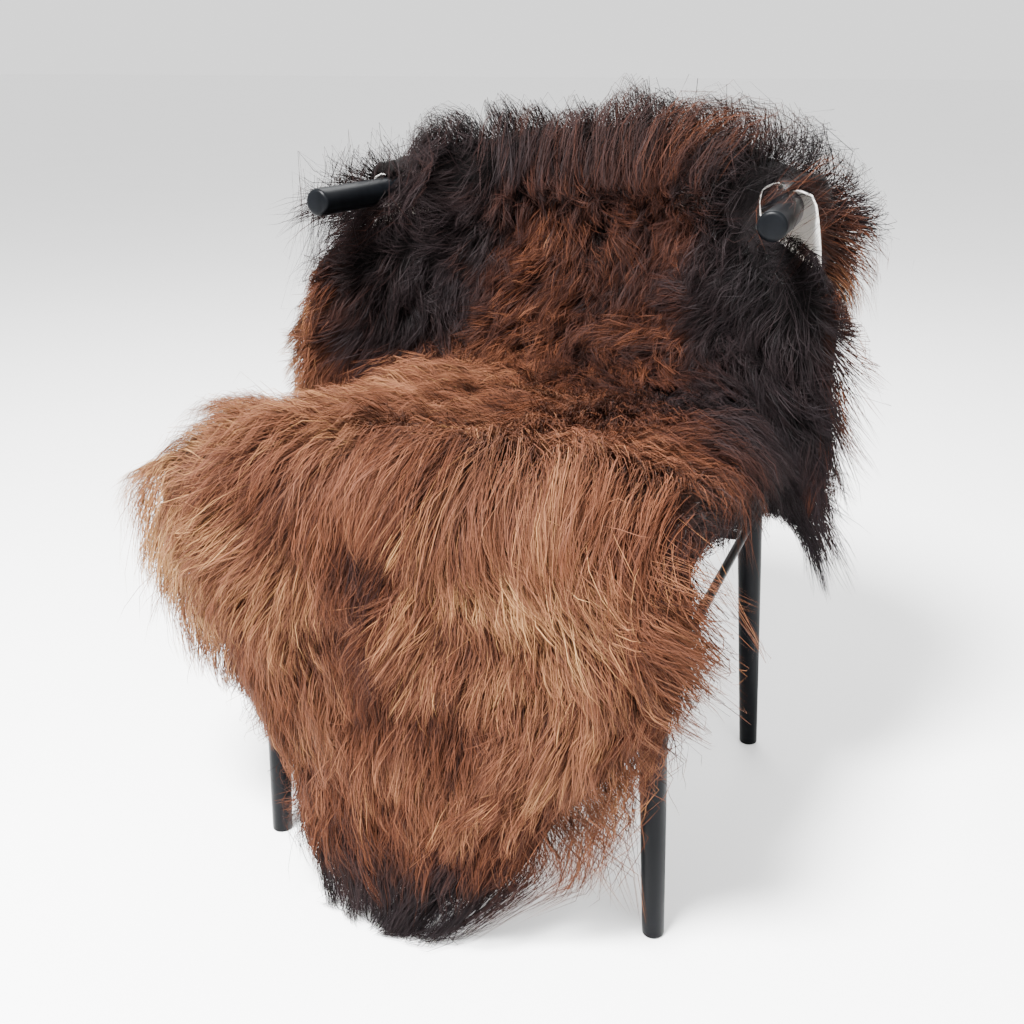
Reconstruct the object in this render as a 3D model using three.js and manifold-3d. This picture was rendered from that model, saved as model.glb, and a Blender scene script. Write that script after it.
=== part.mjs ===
// A long-haired sheepskin rug draped over a slim black chair with short stub arms.
// Units are millimetres. +X is the sitter's left, +Y points to the chair's back, +Z is up.
// The whole group is set down with its bounding box's bottom centre on the origin.
import * as THREE from "three";
import Module from "manifold-3d";
import { mergeVertices } from "three/addons/utils/BufferGeometryUtils.js";

const wasm = await Module();
wasm.setup();

// Driving sizes of the chair
const CHAIR = {
  seatTop: 448,
  seatThick: 26,
  seatFrontHalf: 232,
  seatRearHalf: 221,
  seatFrontY: -235,
  seatRearY: 212,
  seatCorner: 38,
  seatBevel: 4,
  footFront: { x: 230, y: -213 },
  footRear: { x: 220, y: 213 },
  splay: 0.038, // sideways run of a leg for each unit of height
  rearLean: 0.074, // forward run of a rear leg for each unit of height
  footRadius: 11.5,
  legRadius: 16.5,
  footChamfer: 1.5,
  rodRadius: 5.5,
  rodSeam: 0.7, // clearance between a rod's flat end and a round leg
  sideRodFrontZ: 272,
  sideRodRearZ: 315,
  rearRodZ: 296,
};

// The round bow rail, whose two free ends are the stub arms
const BOW = {
  radius: 15.4,
  tipHalf: 260,
  tipY: -23,
  tipZ: 703,
  arcZ: 705, // the middle line's height where the round back begins, and at its rearmost point
  backZ: 709,
  half: 248,
  arcY: 100, // where the arms end and the round back begins
  depth: 150, // how far the round back reaches behind that
  arcDegrees: [-90, -68, -45, -22, 0, 22, 45, 68, 90],
  dome: 4, // how far a stub's end stands out, and how narrow it gets there
  domeShare: 0.72,
  steps: 34,
};
const CREST = { half: 168, thick: 18, top: 740, endTop: 724, steps: 14 };
const POST = {
  radius: 9,
  headRadius: 8,
  feet: [{ name: "outer", x: 152, y: 189 }, { name: "inner", x: 55, y: 195 }],
};

const SEAM = 0.3; // clearance between wooden pieces that meet
const SIDES = 14;

// The hide. Each row is one section across it, in order from the neck end behind the back
// to the tail end in front. x, y, z is the spine line on the flesh side. left and right are the
// half widths to the shoulder line, curl is how far the shoulders come forward on an arc of
// the given degrees, and sink is how much lower they lie. From there the sheet runs on to its
// rim: outL and outR outwards, fore to the front and fall downwards. pile is the wool's height,
// and tuck the share of it that is pressed in where the flank folds against the seat.
const COLUMNS = [
  "x", "y", "z", "left", "right", "curl", "arc", "sink", "outL", "outR", "fore", "fall", "pile", "tuck",
];
const SECTIONS = {
  neckEnd: [0, 277, 606, 239, 239, 92, 62, 8, 36, 44, 62, -14, 38, 0],
  neck: [0, 273.5, 690, 238, 238, 90, 62, 10, 34, 40, 66, 4, 50, 0],
  crestBack: [0, 268, 738, 234, 234, 88, 62, 18, 31, 33, 65, 1, 56, 0],
  crestTop: [0, 250, 753.5, 219, 219, 80, 62, 28, 29, 29, 60, 1, 58, 0],
  crestFront: [0, 231.5, 738.5, 204, 204, 72, 62, 20, 30, 30, 60, 20, 54, 0],
  backHigh: [0, 228, 698, 210, 210, 82, 68, 20, 117, 105, 62, 60, 48, 0],
  backMid: [0, 212, 600, 222, 222, 84, 60, 2, 126, 92, 56, 70, 46, 0.1],
  backLow: [0, 193, 530, 224, 224, 72, 55, -4, 128, 94, 50, 86, 42, 0.45],
  hollow: [0, 152, 478, 230, 227, 46, 45, 0, 104, 70, 42, 96, 30, 0.7],
  seatRear: [0, 92, 455, 238, 235, 26, 30, 1, 84, 52, 16, 74, 34, 0.72],
  seatMid: [0, 10, 451.5, 240, 238, 6, 20, 0, 78, 34, 0, 46, 44, 0.45],
  seatFore: [0, -110, 451.5, 243, 240, 0, 20, 0, 76, 18, 0, 28, 50, 0],
  seatEdge: [-2, -229.5, 454, 243, 238, 0, 20, 1, 76, 23, 8, 20, 54, 0],
  brow: [-3, -247, 438, 242, 236, 0, 20, 1, 74, 29, 4, 12, 56, 0],
  bibHigh: [-4, -252, 362, 236, 232, 0, 20, 2, 62, 38, 0, 8, 56, 0],
  bibMid: [-5, -256, 286, 204, 208, -4, 20, 0, 58, 44, -4, 6, 52, 0],
  bibLow: [-7, -261, 212, 154, 166, -4, 20, 0, 48, 38, -4, 2, 50, 0],
  tailHigh: [-12, -268, 142, 116, 124, -4, 20, 0, 36, 30, -4, 0, 46, 0],
  tailLow: [-14, -277, 84, 98, 94, -4, 20, 0, 34, 30, -4, -2, 42, 0],
  tailEnd: [-18, -286, 37, 80, 66, -2, 20, 0, 30, 28, -4, -9, 36, 0],
};
const FIRST_BELOW_ARM = "backHigh"; // the arms pass between this section and the crest

// How the hide is divided, and how its wool swells
const HIDE = {
  step: 31, // the longest way along the spine between two rows of points
  columns: 24, // a multiple of 8, so that the shoulder lines fall on a column
  shoulder: 0.5, // the share of a half width at which the shoulder line lies
  // where the sheet passes between shoulder and rim, as shares of its run there
  saddle: { out: 0.68, fore: 0.48, fall: 0.5 },
  flank: { out: 0.52, fore: 0.8, fall: 0.36 },
  roll: 66, // the wool rounds off over this width at the rim
  rimShare: 0.3,
  tuckFrom: 0.35, // shares of a half width between which a tuck deepens
  tuckTo: 0.65,
  lump: 0.15,
  lumpAlong: 118,
  lumpAcross: 96,
};

// The locks that fringe the hide, on narrow strips parted from its rim
const LOCKS = {
  gap: 0.6, // between strip and hide
  depth: 7,
  pitch: 14,
  spansPerStrip: 12,
  length: 42,
  spread: 10,
  radius: 5,
  hang: 0.6, // how much a lock leans down for each unit that it points outwards
  sag: 0.16,
  lift: 0.16,
  endInset: 1.2,
  floor: 4, // no lock reaches lower than this
  sides: 3,
  twist: 0.5,
  sunk: 2, // how deep a lock's root sits in its strip
  knee: 0.55, // where a lock bends, and how thin it is there, as shares
  kneeShare: 0.62,
  stagger: 0.16,
};

const FINISH = {
  wood: { color: 0x121213, roughness: 0.42, metalness: 0 },
  wool: { color: 0x6b3d22, roughness: 0.95, metalness: 0 },
  lock: { color: 0x7c4a2a, roughness: 0.95, metalness: 0 },
};

const HANDS = [[-1, "right"], [1, "left"]]; // the sides as seen by a sitter
const group = new THREE.Group();

function addMesh(name, geometry, finish) {
  const mesh = new THREE.Mesh(geometry, new THREE.MeshStandardMaterial(finish));
  mesh.name = name;
  group.add(mesh);
}

// A closed geometry from points and the triangles between them.
function solidGeometry(points, triangles) {
  const geometry = new THREE.BufferGeometry().setFromPoints(points);
  geometry.setIndex(triangles);
  geometry.computeVertexNormals();
  return geometry;
}

// A closed solid through rings of equal length that run counter-clockwise about the way ahead.
// A ring of one point closes to a tip.
function loft(rings) {
  const points = [];
  const triangles = [];
  const starts = rings.map((ring) => points.push(...ring) - ring.length);
  const sides = Math.max(...rings.map((ring) => ring.length));
  const at = (k, i) => starts[k] + (rings[k].length === 1 ? 0 : i % sides);
  for (let k = 0; k + 1 < rings.length; k++) {
    for (let i = 0; i < sides; i++) {
      const [a, b, c, d] = [at(k, i), at(k, i + 1), at(k + 1, i + 1), at(k + 1, i)];
      if (a !== b) triangles.push(a, b, d);
      if (c !== d) triangles.push(b, c, d);
    }
  }
  for (const [k, flip] of [[0, true], [rings.length - 1, false]]) {
    if (rings[k].length === 1) continue;
    for (let i = 1; i + 1 < sides; i++) {
      const [b, c] = flip ? [i + 1, i] : [i, i + 1];
      triangles.push(at(k, 0), at(k, b), at(k, c));
    }
  }
  return solidGeometry(points, triangles);
}

// A level ring of a round piece that stands upright.
function levelRing(x, y, z, radius) {
  return Array.from({ length: SIDES }, (_, i) => {
    const angle = (2 * Math.PI * i) / SIDES;
    return new THREE.Vector3(x + radius * Math.cos(angle), y + radius * Math.sin(angle), z);
  });
}

// A ring square to a direction, with as many corners as asked.
function squareRing(centre, ahead, radius, sides, turn = 0) {
  const up = Math.abs(ahead.z) > 0.9 ? new THREE.Vector3(0, 1, 0) : new THREE.Vector3(0, 0, 1);
  const across = new THREE.Vector3().crossVectors(up, ahead).normalize();
  const over = new THREE.Vector3().crossVectors(ahead, across);
  return Array.from({ length: sides }, (_, i) => {
    const angle = (2 * Math.PI * i) / sides + turn;
    const corner = centre.clone().addScaledVector(across, radius * Math.cos(angle));
    return corner.addScaledVector(over, radius * Math.sin(angle));
  });
}

function rod(from, to, radius) {
  const ahead = to.clone().sub(from).normalize();
  return loft([squareRing(from, ahead, radius, SIDES), squareRing(to, ahead, radius, SIDES)]);
}

function toManifold(geometry) {
  const bare = geometry.clone();
  bare.deleteAttribute("normal");
  bare.deleteAttribute("uv");
  const merged = mergeVertices(bare, 1e-3);
  const vertProperties = new Float32Array(merged.attributes.position.array);
  const triVerts = new Uint32Array(merged.index.array);
  return new wasm.Manifold(new wasm.Mesh({ numProp: 3, vertProperties, triVerts }));
}

function fromManifold(solid) {
  const mesh = solid.getMesh();
  const geometry = new THREE.BufferGeometry();
  geometry.setAttribute("position", new THREE.BufferAttribute(new Float32Array(mesh.vertProperties), 3));
  geometry.setIndex(Array.from(mesh.triVerts));
  geometry.computeVertexNormals();
  return geometry;
}

// The centre of a leg at a height.
function legCentre(foot, lean, z) {
  return new THREE.Vector3(foot.x - Math.sign(foot.x) * CHAIR.splay * z, foot.y - lean * z, z);
}

function legRadiusAt(z) {
  const top = CHAIR.seatTop - CHAIR.seatThick;
  return THREE.MathUtils.lerp(CHAIR.footRadius, CHAIR.legRadius, z / top);
}

function buildLeg(name, foot, lean) {
  const top = CHAIR.seatTop - CHAIR.seatThick - SEAM;
  const heights = [0, CHAIR.footChamfer * 2, top * 0.5, top];
  const rings = heights.map((z) => {
    const centre = legCentre(foot, lean, z);
    const radius = legRadiusAt(z) - (z === 0 ? CHAIR.footChamfer : 0);
    return levelRing(centre.x, centre.y, z, radius);
  });
  addMesh(name, loft(rings), FINISH.wood);
}

// A thin rod between two legs, clear of both by the seam.
function buildStretcher(name, [footA, leanA, zA], [footB, leanB, zB]) {
  const a = legCentre(footA, leanA, zA);
  const b = legCentre(footB, leanB, zB);
  const ahead = b.clone().sub(a).normalize();
  a.addScaledVector(ahead, legRadiusAt(zA) + CHAIR.rodSeam);
  b.addScaledVector(ahead, -(legRadiusAt(zB) + CHAIR.rodSeam));
  addMesh(name, rod(a, b, CHAIR.rodRadius), FINISH.wood);
}

function buildSeat() {
  const bevel = CHAIR.seatBevel;
  const corners = [
    [-CHAIR.seatFrontHalf + bevel, CHAIR.seatFrontY + bevel],
    [CHAIR.seatFrontHalf - bevel, CHAIR.seatFrontY + bevel],
    [CHAIR.seatRearHalf - bevel, CHAIR.seatRearY - bevel],
    [-CHAIR.seatRearHalf + bevel, CHAIR.seatRearY - bevel],
  ].map(([x, y]) => new THREE.Vector2(x, y));
  const shape = new THREE.Shape();
  corners.forEach((corner, i) => {
    const before = corners[(i + 3) % 4];
    const after = corners[(i + 1) % 4];
    const enter = before.clone().sub(corner).setLength(CHAIR.seatCorner).add(corner);
    const leave = after.clone().sub(corner).setLength(CHAIR.seatCorner).add(corner);
    if (i === 0) shape.moveTo(enter.x, enter.y);
    else shape.lineTo(enter.x, enter.y);
    shape.quadraticCurveTo(corner.x, corner.y, leave.x, leave.y);
  });
  const geometry = new THREE.ExtrudeGeometry(shape, {
    depth: CHAIR.seatThick - 2 * bevel,
    bevelThickness: bevel,
    bevelSize: bevel,
    bevelSegments: 2,
    curveSegments: 5,
  });
  geometry.translate(0, 0, CHAIR.seatTop - CHAIR.seatThick + bevel);
  addMesh("seat", geometry, FINISH.wood);
}

// The middle line of the round back at an angle from its rearmost point.
function bowArc(angle, z) {
  return new THREE.Vector3(BOW.half * Math.sin(angle), BOW.arcY + BOW.depth * Math.cos(angle), z);
}

// The height of that middle line.
function bowHeight(angle) {
  return THREE.MathUtils.lerp(BOW.arcZ, BOW.backZ, Math.cos(angle));
}

function bowCurve() {
  const stops = BOW.arcDegrees.map((degrees) => {
    const angle = THREE.MathUtils.degToRad(degrees);
    return bowArc(angle, bowHeight(angle));
  });
  const tip = (side) => new THREE.Vector3(side * BOW.tipHalf, BOW.tipY, BOW.tipZ);
  return new THREE.CatmullRomCurve3([tip(-1), ...stops, tip(1)], false, "centripetal");
}

function buildBow() {
  const curve = bowCurve();
  const rings = Array.from({ length: BOW.steps + 1 }, (_, k) => {
    const at = k / BOW.steps;
    return squareRing(curve.getPointAt(at), curve.getTangentAt(at), BOW.radius, SIDES);
  });
  const ends = [0, 1].map((at) => {
    const outward = curve.getTangentAt(at).multiplyScalar(at === 0 ? -1 : 1);
    const domed = curve.getPointAt(at).addScaledVector(outward, BOW.dome);
    return squareRing(domed, curve.getTangentAt(at), BOW.radius * BOW.domeShare, SIDES);
  });
  addMesh("bow_rail", loft([ends[0], ...rings, ends[1]]), FINISH.wood);
}

// The low curved board that stands on the back of the bow.
function buildCrest() {
  const reach = Math.asin(CREST.half / BOW.half);
  const rings = Array.from({ length: CREST.steps + 1 }, (_, k) => {
    const angle = -reach + (2 * reach * k) / CREST.steps;
    const share = Math.abs(angle) / reach;
    const top = THREE.MathUtils.lerp(CREST.top, CREST.endTop, share ** 3);
    const out = new THREE.Vector3(Math.sin(angle), Math.cos(angle), 0).multiplyScalar(CREST.thick / 2);
    const base = bowArc(angle, bowHeight(angle) + BOW.radius + SEAM);
    const high = bowArc(angle, top);
    return [base.clone().add(out), high.clone().add(out), high.clone().sub(out), base.clone().sub(out)];
  });
  addMesh("crest_board", loft(rings), FINISH.wood);
}

function buildPosts() {
  POST.feet.forEach((foot) => {
    for (const [side, hand] of HANDS) {
      const angle = Math.asin(foot.x / BOW.half);
      const head = bowArc(angle, bowHeight(angle) - BOW.radius - SEAM);
      const rings = [
        levelRing(side * foot.x, foot.y, CHAIR.seatTop + SEAM, POST.radius),
        levelRing(side * head.x, head.y, head.z, POST.headRadius),
      ];
      addMesh(`post_${foot.name}_${hand}`, loft(rings), FINISH.wood);
    }
  });
}

// A row of the table of sections as an object with named columns.
function readSections() {
  return Object.entries(SECTIONS).map(([name, values]) => {
    const row = { name };
    COLUMNS.forEach((column, i) => (row[column] = values[i]));
    return row;
  });
}

// The nine points that a section's curve passes, from the left rim over the spine to the right rim.
function sectionStops(row, pass) {
  const arc = THREE.MathUtils.degToRad(row.arc);
  const span = (side, share) => {
    const half = side < 0 ? row.left : row.right;
    const turn = arc * share;
    return new THREE.Vector3(
      row.x + (side * half * Math.sin(turn)) / Math.sin(arc),
      row.y - (row.curl * (1 - Math.cos(turn))) / (1 - Math.cos(arc)),
      row.z - row.sink * share ** 2,
    );
  };
  const beyond = (side, out, fore, fall) => {
    const run = side < 0 ? row.outL : row.outR;
    return span(side, 1).add(new THREE.Vector3(side * run * out, -row.fore * fore, -row.fall * fall));
  };
  const half = (side) => [
    beyond(side, 1, 1, 1),
    beyond(side, pass.out, pass.fore, pass.fall),
    span(side, 1),
    span(side, 0.5),
  ];
  return [...half(-1), span(1, 0), ...half(1).reverse()];
}

// The flesh side of the hide as a grid of points. Beyond the shoulder lines the sheet is parted
// between the crest and the first section below the arms, so each part has its own curve there.
function hideGrid() {
  const rows = readSections();
  const split = rows.findIndex((row) => row.name === FIRST_BELOW_ARM);
  const curves = rows.map((row, k) => {
    const pass = k < split ? HIDE.saddle : HIDE.flank;
    return new THREE.CatmullRomCurve3(sectionStops(row, pass), false, "centripetal");
  });
  const stations = [0];
  for (let k = 1; k < rows.length; k++) {
    const spine = Math.hypot(rows[k].y - rows[k - 1].y, rows[k].z - rows[k - 1].z);
    const steps = Math.ceil(spine / HIDE.step);
    for (let n = 1; n <= steps; n++) stations.push(k - 1 + n / steps);
  }
  const columns = Array.from({ length: HIDE.columns + 1 }, (_, j) => {
    const stops = curves.map((curve) => curve.getPoint(j / HIDE.columns));
    const parted = Math.abs((2 * j) / HIDE.columns - 1) > HIDE.shoulder + 1e-6;
    const pieces = parted ? [[0, split - 2], [split, rows.length - 1]] : [[0, rows.length - 1]];
    return pieces.map(([from, to]) => {
      const curve = new THREE.CatmullRomCurve3(stops.slice(from, to + 1), false, "centripetal");
      return { from, to, curve };
    });
  });
  const points = stations.map((s) => columns.map((pieces) => {
    const piece = pieces.find(({ from, to }) => s >= from - 1e-6 && s <= to + 1e-6);
    return piece ? piece.curve.getPoint((s - piece.from) / (piece.to - piece.from)) : null;
  }));
  const wool = stations.map((s) => {
    const k = Math.min(Math.floor(s), rows.length - 2);
    const between = (column) => THREE.MathUtils.lerp(rows[k][column], rows[k + 1][column], s - k);
    return { pile: between("pile"), tuck: between("tuck") };
  });
  return { points, wool, flankRow: stations.indexOf(split) };
}

// Whether the cell below and to the right of a grid point is hide.
function isCell(points, i, j) {
  return [[i, j], [i + 1, j], [i + 1, j + 1], [i, j + 1]].every(([a, b]) => points[a] && points[a][b]);
}

// The outward normal of the wool side at a grid point, from the cells around it.
function hideNormal(points, i, j) {
  const normal = new THREE.Vector3();
  for (const [a, b] of [[i - 1, j - 1], [i, j - 1], [i - 1, j], [i, j]]) {
    if (!isCell(points, a, b)) continue;
    const down = points[a + 1][b + 1].clone().sub(points[a][b]);
    const right = points[a][b + 1].clone().sub(points[a + 1][b]);
    normal.add(new THREE.Vector3().crossVectors(down, right));
  }
  return normal.normalize();
}

// How far a grid point lies from the nearest rim, along the sheet.
function rimDistance(points, i, j) {
  let nearest = Infinity;
  for (const [di, dj] of [[1, 0], [-1, 0], [0, 1], [0, -1]]) {
    let length = 0;
    let [a, b] = [i, j];
    for (;;) {
      const [c, d] = [a + di, b + dj];
      const [top, side] = [Math.min(a, c), Math.min(b, d)];
      const cells = [[top, side], di ? [top, side - 1] : [top - 1, side]];
      if (!cells.some(([p, q]) => isCell(points, p, q))) break;
      length += points[c][d].distanceTo(points[a][b]);
      [a, b] = [c, d];
    }
    nearest = Math.min(nearest, length);
  }
  return nearest;
}

// The wool's uneven swelling, from -1 to 1, at a place on the flat hide.
function lumps(along, across) {
  const a = (2 * Math.PI * along) / HIDE.lumpAlong;
  const b = (2 * Math.PI * across) / HIDE.lumpAcross;
  const first = Math.sin(a + 1.4 * Math.sin(0.55 * b)) * Math.cos(b + 0.9 * Math.sin(0.7 * a));
  return 0.62 * first + 0.38 * Math.sin(1.7 * a - 0.8 * b) * Math.cos(0.6 * a + 1.9 * b + 1);
}

function woolHeight(points, wool, i, j) {
  const near = Math.min(rimDistance(points, i, j) / HIDE.roll, 1);
  const round = HIDE.rimShare + (1 - HIDE.rimShare) * Math.sqrt(1 - (1 - near) ** 2);
  const offSpine = Math.abs((2 * j) / HIDE.columns - 1);
  const tucked = wool[i].tuck * THREE.MathUtils.smoothstep(offSpine, HIDE.tuckFrom, HIDE.tuckTo);
  const swell = 1 + HIDE.lump * near * lumps(i * HIDE.step, (j - HIDE.columns / 2) * HIDE.step);
  return wool[i].pile * round * (1 - tucked) * swell;
}

// The closed slab of hide and wool, and its rim as an ordered loop of wall posts.
function buildHide() {
  const { points, wool, flankRow } = hideGrid();
  const under = [];
  const index = new Map();
  const key = (i, j) => i * 1000 + j;
  const posts = new Map();
  points.forEach((line, i) => line.forEach((point, j) => {
    const around = [[i - 1, j - 1], [i, j - 1], [i - 1, j], [i, j]];
    if (!around.some(([a, b]) => isCell(points, a, b))) return;
    index.set(key(i, j), under.length);
    const normal = hideNormal(points, i, j);
    const over = point.clone().addScaledVector(normal, woolHeight(points, wool, i, j));
    posts.set(key(i, j), { under: point, over, normal, i, j });
    under.push(point);
  }));
  const count = under.length;
  const vertices = [...under, ...[...posts.values()].map((post) => post.over)];
  const triangles = [];
  const next = new Map();
  const edges = new Set();
  const cells = [];
  for (let i = 0; i + 1 < points.length; i++) {
    for (let j = 0; j < HIDE.columns; j++) {
      if (!isCell(points, i, j)) continue;
      cells.push([key(i, j), key(i + 1, j), key(i + 1, j + 1), key(i, j + 1)]);
    }
  }
  for (const cell of cells) {
    const [a, b, c, d] = cell.map((k) => index.get(k));
    triangles.push(a + count, b + count, c + count, a + count, c + count, d + count);
    triangles.push(a, c, b, a, d, c);
    cell.forEach((k, n) => edges.add(`${k} ${cell[(n + 1) % 4]}`));
  }
  for (const edge of edges) {
    const [p, q] = edge.split(" ").map(Number);
    if (edges.has(`${q} ${p}`)) continue;
    next.set(p, q);
    const [a, b] = [index.get(p), index.get(q)];
    triangles.push(a + count, a, b, a + count, b, b + count);
  }
  addMesh("sheepskin", solidGeometry(vertices, triangles), FINISH.wool);
  const start = key(0, 0);
  const loop = [posts.get(start)];
  for (let k = next.get(start); k !== start; k = next.get(k)) loop.push(posts.get(k));
  return { loop, flankRow, lastRow: points.length - 1 };
}

// Repeatable numbers between 0 and 1 for the locks' small differences.
function seededRandom(seed) {
  let state = seed;
  return () => {
    state = (state * 1664525 + 1013904223) % 4294967296;
    return state / 4294967296;
  };
}

// Which way is outwards, in the sheet, at each post of the rim.
function rimOutward(loop) {
  const size = loop.length;
  const edge = (k) => {
    const [p, q] = [loop[(k + size) % size], loop[(k + 1 + size) % size]];
    const ahead = q.under.clone().sub(p.under).normalize();
    return new THREE.Vector3().crossVectors(ahead, p.normal.clone().add(q.normal)).normalize();
  };
  return loop.map((_, k) => edge(k - 1).add(edge(k)).normalize());
}

// One lock: a three-sided spike that leaves the strip outwards and sags to its tip.
function lockGeometry(root, way, length) {
  const along = (share) => {
    const place = root.clone().addScaledVector(way, length * share);
    place.z = Math.max(place.z - LOCKS.sag * length * share * share, LOCKS.floor);
    return place;
  };
  const foot = root.clone().addScaledVector(way, -LOCKS.sunk);
  const knee = along(LOCKS.knee);
  const bend = along(1).sub(knee).normalize();
  return loft([
    squareRing(foot, way, LOCKS.radius, LOCKS.sides, LOCKS.twist),
    squareRing(knee, bend, LOCKS.radius * LOCKS.kneeShare, LOCKS.sides, LOCKS.twist),
    [along(1)],
  ]);
}

// A narrow strip along some posts of the rim, with its locks fused to it.
function buildStrip(name, posts, outward, random) {
  const last = posts.length - 1;
  const inset = (k, other) => posts[other].under.clone().sub(posts[k].under).setLength(LOCKS.endInset);
  const rings = posts.map((post, k) => {
    const slide = k === 0 ? inset(0, 1) : k === last ? inset(last, last - 1) : new THREE.Vector3();
    const corner = (from, reach) => from.clone().add(slide).addScaledVector(outward[k], reach);
    return [
      corner(post.under, LOCKS.gap),
      corner(post.over, LOCKS.gap),
      corner(post.over, LOCKS.gap + LOCKS.depth),
      corner(post.under, LOCKS.gap + LOCKS.depth),
    ];
  });
  let solid = toManifold(loft(rings));
  const lengths = rings.slice(1).map((ring, k) => ring[2].distanceTo(rings[k][2]));
  const whole = lengths.reduce((sum, length) => sum + length, 0);
  const count = Math.max(1, Math.round(whole / LOCKS.pitch));
  for (let n = 0; n < count; n++) {
    let k = 0;
    let left = (whole * (n + 0.5 + LOCKS.stagger * (random() - 0.5))) / count;
    while (left > lengths[k] && k + 1 < lengths.length) left -= lengths[k++];
    const share = left / lengths[k];
    const middle = (ring) => ring[2].clone().lerp(ring[3], 0.5);
    const root = middle(rings[k]).lerp(middle(rings[k + 1]), share);
    const normal = posts[k].normal.clone().lerp(posts[k + 1].normal, share);
    const way = outward[k].clone().lerp(outward[k + 1], share).addScaledVector(normal, LOCKS.lift);
    way.z -= LOCKS.hang;
    way.normalize();
    const length = LOCKS.length + LOCKS.spread * (random() - 0.5);
    solid = solid.add(toManifold(lockGeometry(root, way, length)));
  }
  addMesh(name, fromManifold(solid), FINISH.lock);
}

// Strips of locks along the neck end, and round the hide's rim from one arm to the other.
function buildLocks({ loop, flankRow, lastRow }) {
  const outward = rimOutward(loop);
  const random = seededRandom(7);
  const atSide = (post) => post.j === 0 || post.j === HIDE.columns;
  const fringed = (post) => post.i === 0 || post.i === lastRow || (post.i >= flankRow && atSide(post));
  const runs = [];
  let run = [];
  for (let k = 0; k <= loop.length; k++) {
    const here = k % loop.length;
    const joins = run.length && (loop[here].i === 0) === (loop[run[0]].i === 0);
    if (!fringed(loop[here]) || !joins) {
      if (run.length > 1) runs.push(run);
      run = [];
    }
    if (fringed(loop[here])) run.push(here);
  }
  if (run.length > 1) runs.push(run);
  let strip = 0;
  for (const posts of runs) {
    const pieces = Math.ceil((posts.length - 1) / LOCKS.spansPerStrip);
    for (let n = 0; n < pieces; n++) {
      const from = Math.round(((posts.length - 1) * n) / pieces);
      const to = Math.round(((posts.length - 1) * (n + 1)) / pieces);
      const part = posts.slice(from, to + 1);
      strip += 1;
      const name = `locks_${String(strip).padStart(2, "0")}`;
      buildStrip(name, part.map((k) => loop[k]), part.map((k) => outward[k]), random);
    }
  }
}

buildSeat();
for (const [side, hand] of HANDS) {
  const front = { x: side * CHAIR.footFront.x, y: CHAIR.footFront.y };
  const rear = { x: side * CHAIR.footRear.x, y: CHAIR.footRear.y };
  buildLeg(`leg_front_${hand}`, front, 0);
  buildLeg(`leg_rear_${hand}`, rear, CHAIR.rearLean);
  const atFront = [front, 0, CHAIR.sideRodFrontZ];
  buildStretcher(`side_rod_${hand}`, atFront, [rear, CHAIR.rearLean, CHAIR.sideRodRearZ]);
}
buildStretcher("rear_rod", ...HANDS.map(([side]) => {
  const rear = { x: side * CHAIR.footRear.x, y: CHAIR.footRear.y };
  return [rear, CHAIR.rearLean, CHAIR.rearRodZ];
}));
buildBow();
buildCrest();
buildPosts();
buildLocks(buildHide());

const box = new THREE.Box3().setFromObject(group);
group.position.set(-(box.min.x + box.max.x) / 2, -(box.min.y + box.max.y) / 2, -box.min.z);

export default group;
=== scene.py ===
"""A long-haired sheepskin rug draped over a slim black chair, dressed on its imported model.

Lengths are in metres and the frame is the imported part's: +X is the sitter's left, +Y points
to the back of the chair and +Z is up. Tables of the rug's sections are in millimetres.
"""
import logging
import math
from dataclasses import dataclass, field
from enum import Enum
from typing import NamedTuple, Sequence

import bpy
import numpy as np
from mathutils import Matrix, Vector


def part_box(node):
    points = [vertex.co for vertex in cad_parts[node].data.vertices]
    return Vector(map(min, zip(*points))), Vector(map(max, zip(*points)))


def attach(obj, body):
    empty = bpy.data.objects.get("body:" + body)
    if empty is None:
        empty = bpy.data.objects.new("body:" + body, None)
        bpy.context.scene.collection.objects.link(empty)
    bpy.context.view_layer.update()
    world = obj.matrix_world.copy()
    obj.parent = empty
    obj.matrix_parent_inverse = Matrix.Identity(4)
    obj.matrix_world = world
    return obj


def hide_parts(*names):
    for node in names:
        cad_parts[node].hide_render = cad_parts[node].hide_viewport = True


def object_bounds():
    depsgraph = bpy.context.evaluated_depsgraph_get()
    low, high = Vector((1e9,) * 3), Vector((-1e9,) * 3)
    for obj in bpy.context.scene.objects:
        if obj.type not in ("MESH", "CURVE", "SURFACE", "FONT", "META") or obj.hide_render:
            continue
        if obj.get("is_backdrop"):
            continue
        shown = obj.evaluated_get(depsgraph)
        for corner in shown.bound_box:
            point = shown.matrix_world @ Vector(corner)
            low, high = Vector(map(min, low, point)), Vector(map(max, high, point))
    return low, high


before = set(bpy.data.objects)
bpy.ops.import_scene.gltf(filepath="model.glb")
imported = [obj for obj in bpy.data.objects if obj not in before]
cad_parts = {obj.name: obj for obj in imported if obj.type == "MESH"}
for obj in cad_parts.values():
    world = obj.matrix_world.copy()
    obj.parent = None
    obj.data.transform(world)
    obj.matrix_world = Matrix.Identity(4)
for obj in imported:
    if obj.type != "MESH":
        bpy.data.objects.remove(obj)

log = logging.getLogger("sheepskin")

MM = 0.001
BODY = "root"
# The palette map's second axis carries painted shade, not the wool's own colour.
PALETTE_MAP = "OFBake"  # the map that carries each hair's tone and shade

Array = np.ndarray
Value = "float | Wire | tuple[float, ...]"
Colour = tuple[float, float, float]
Triple = tuple[float, float, float]
Stops = Sequence[tuple[float, Colour]]
Loft = tuple[Array, list]


class Slot(Enum):
    """The material slots that the record names."""

    FLEECE = "fleece"
    SKIN = "hide_skin"
    WOOD = "black_wood"


class Side(Enum):
    """The sitter's two sides, as signs along X."""

    RIGHT = -1
    LEFT = 1

    @property
    def word(self) -> str:
        """The side's name as the part's nodes spell it."""
        return self.name.lower()


# Shader building


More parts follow.
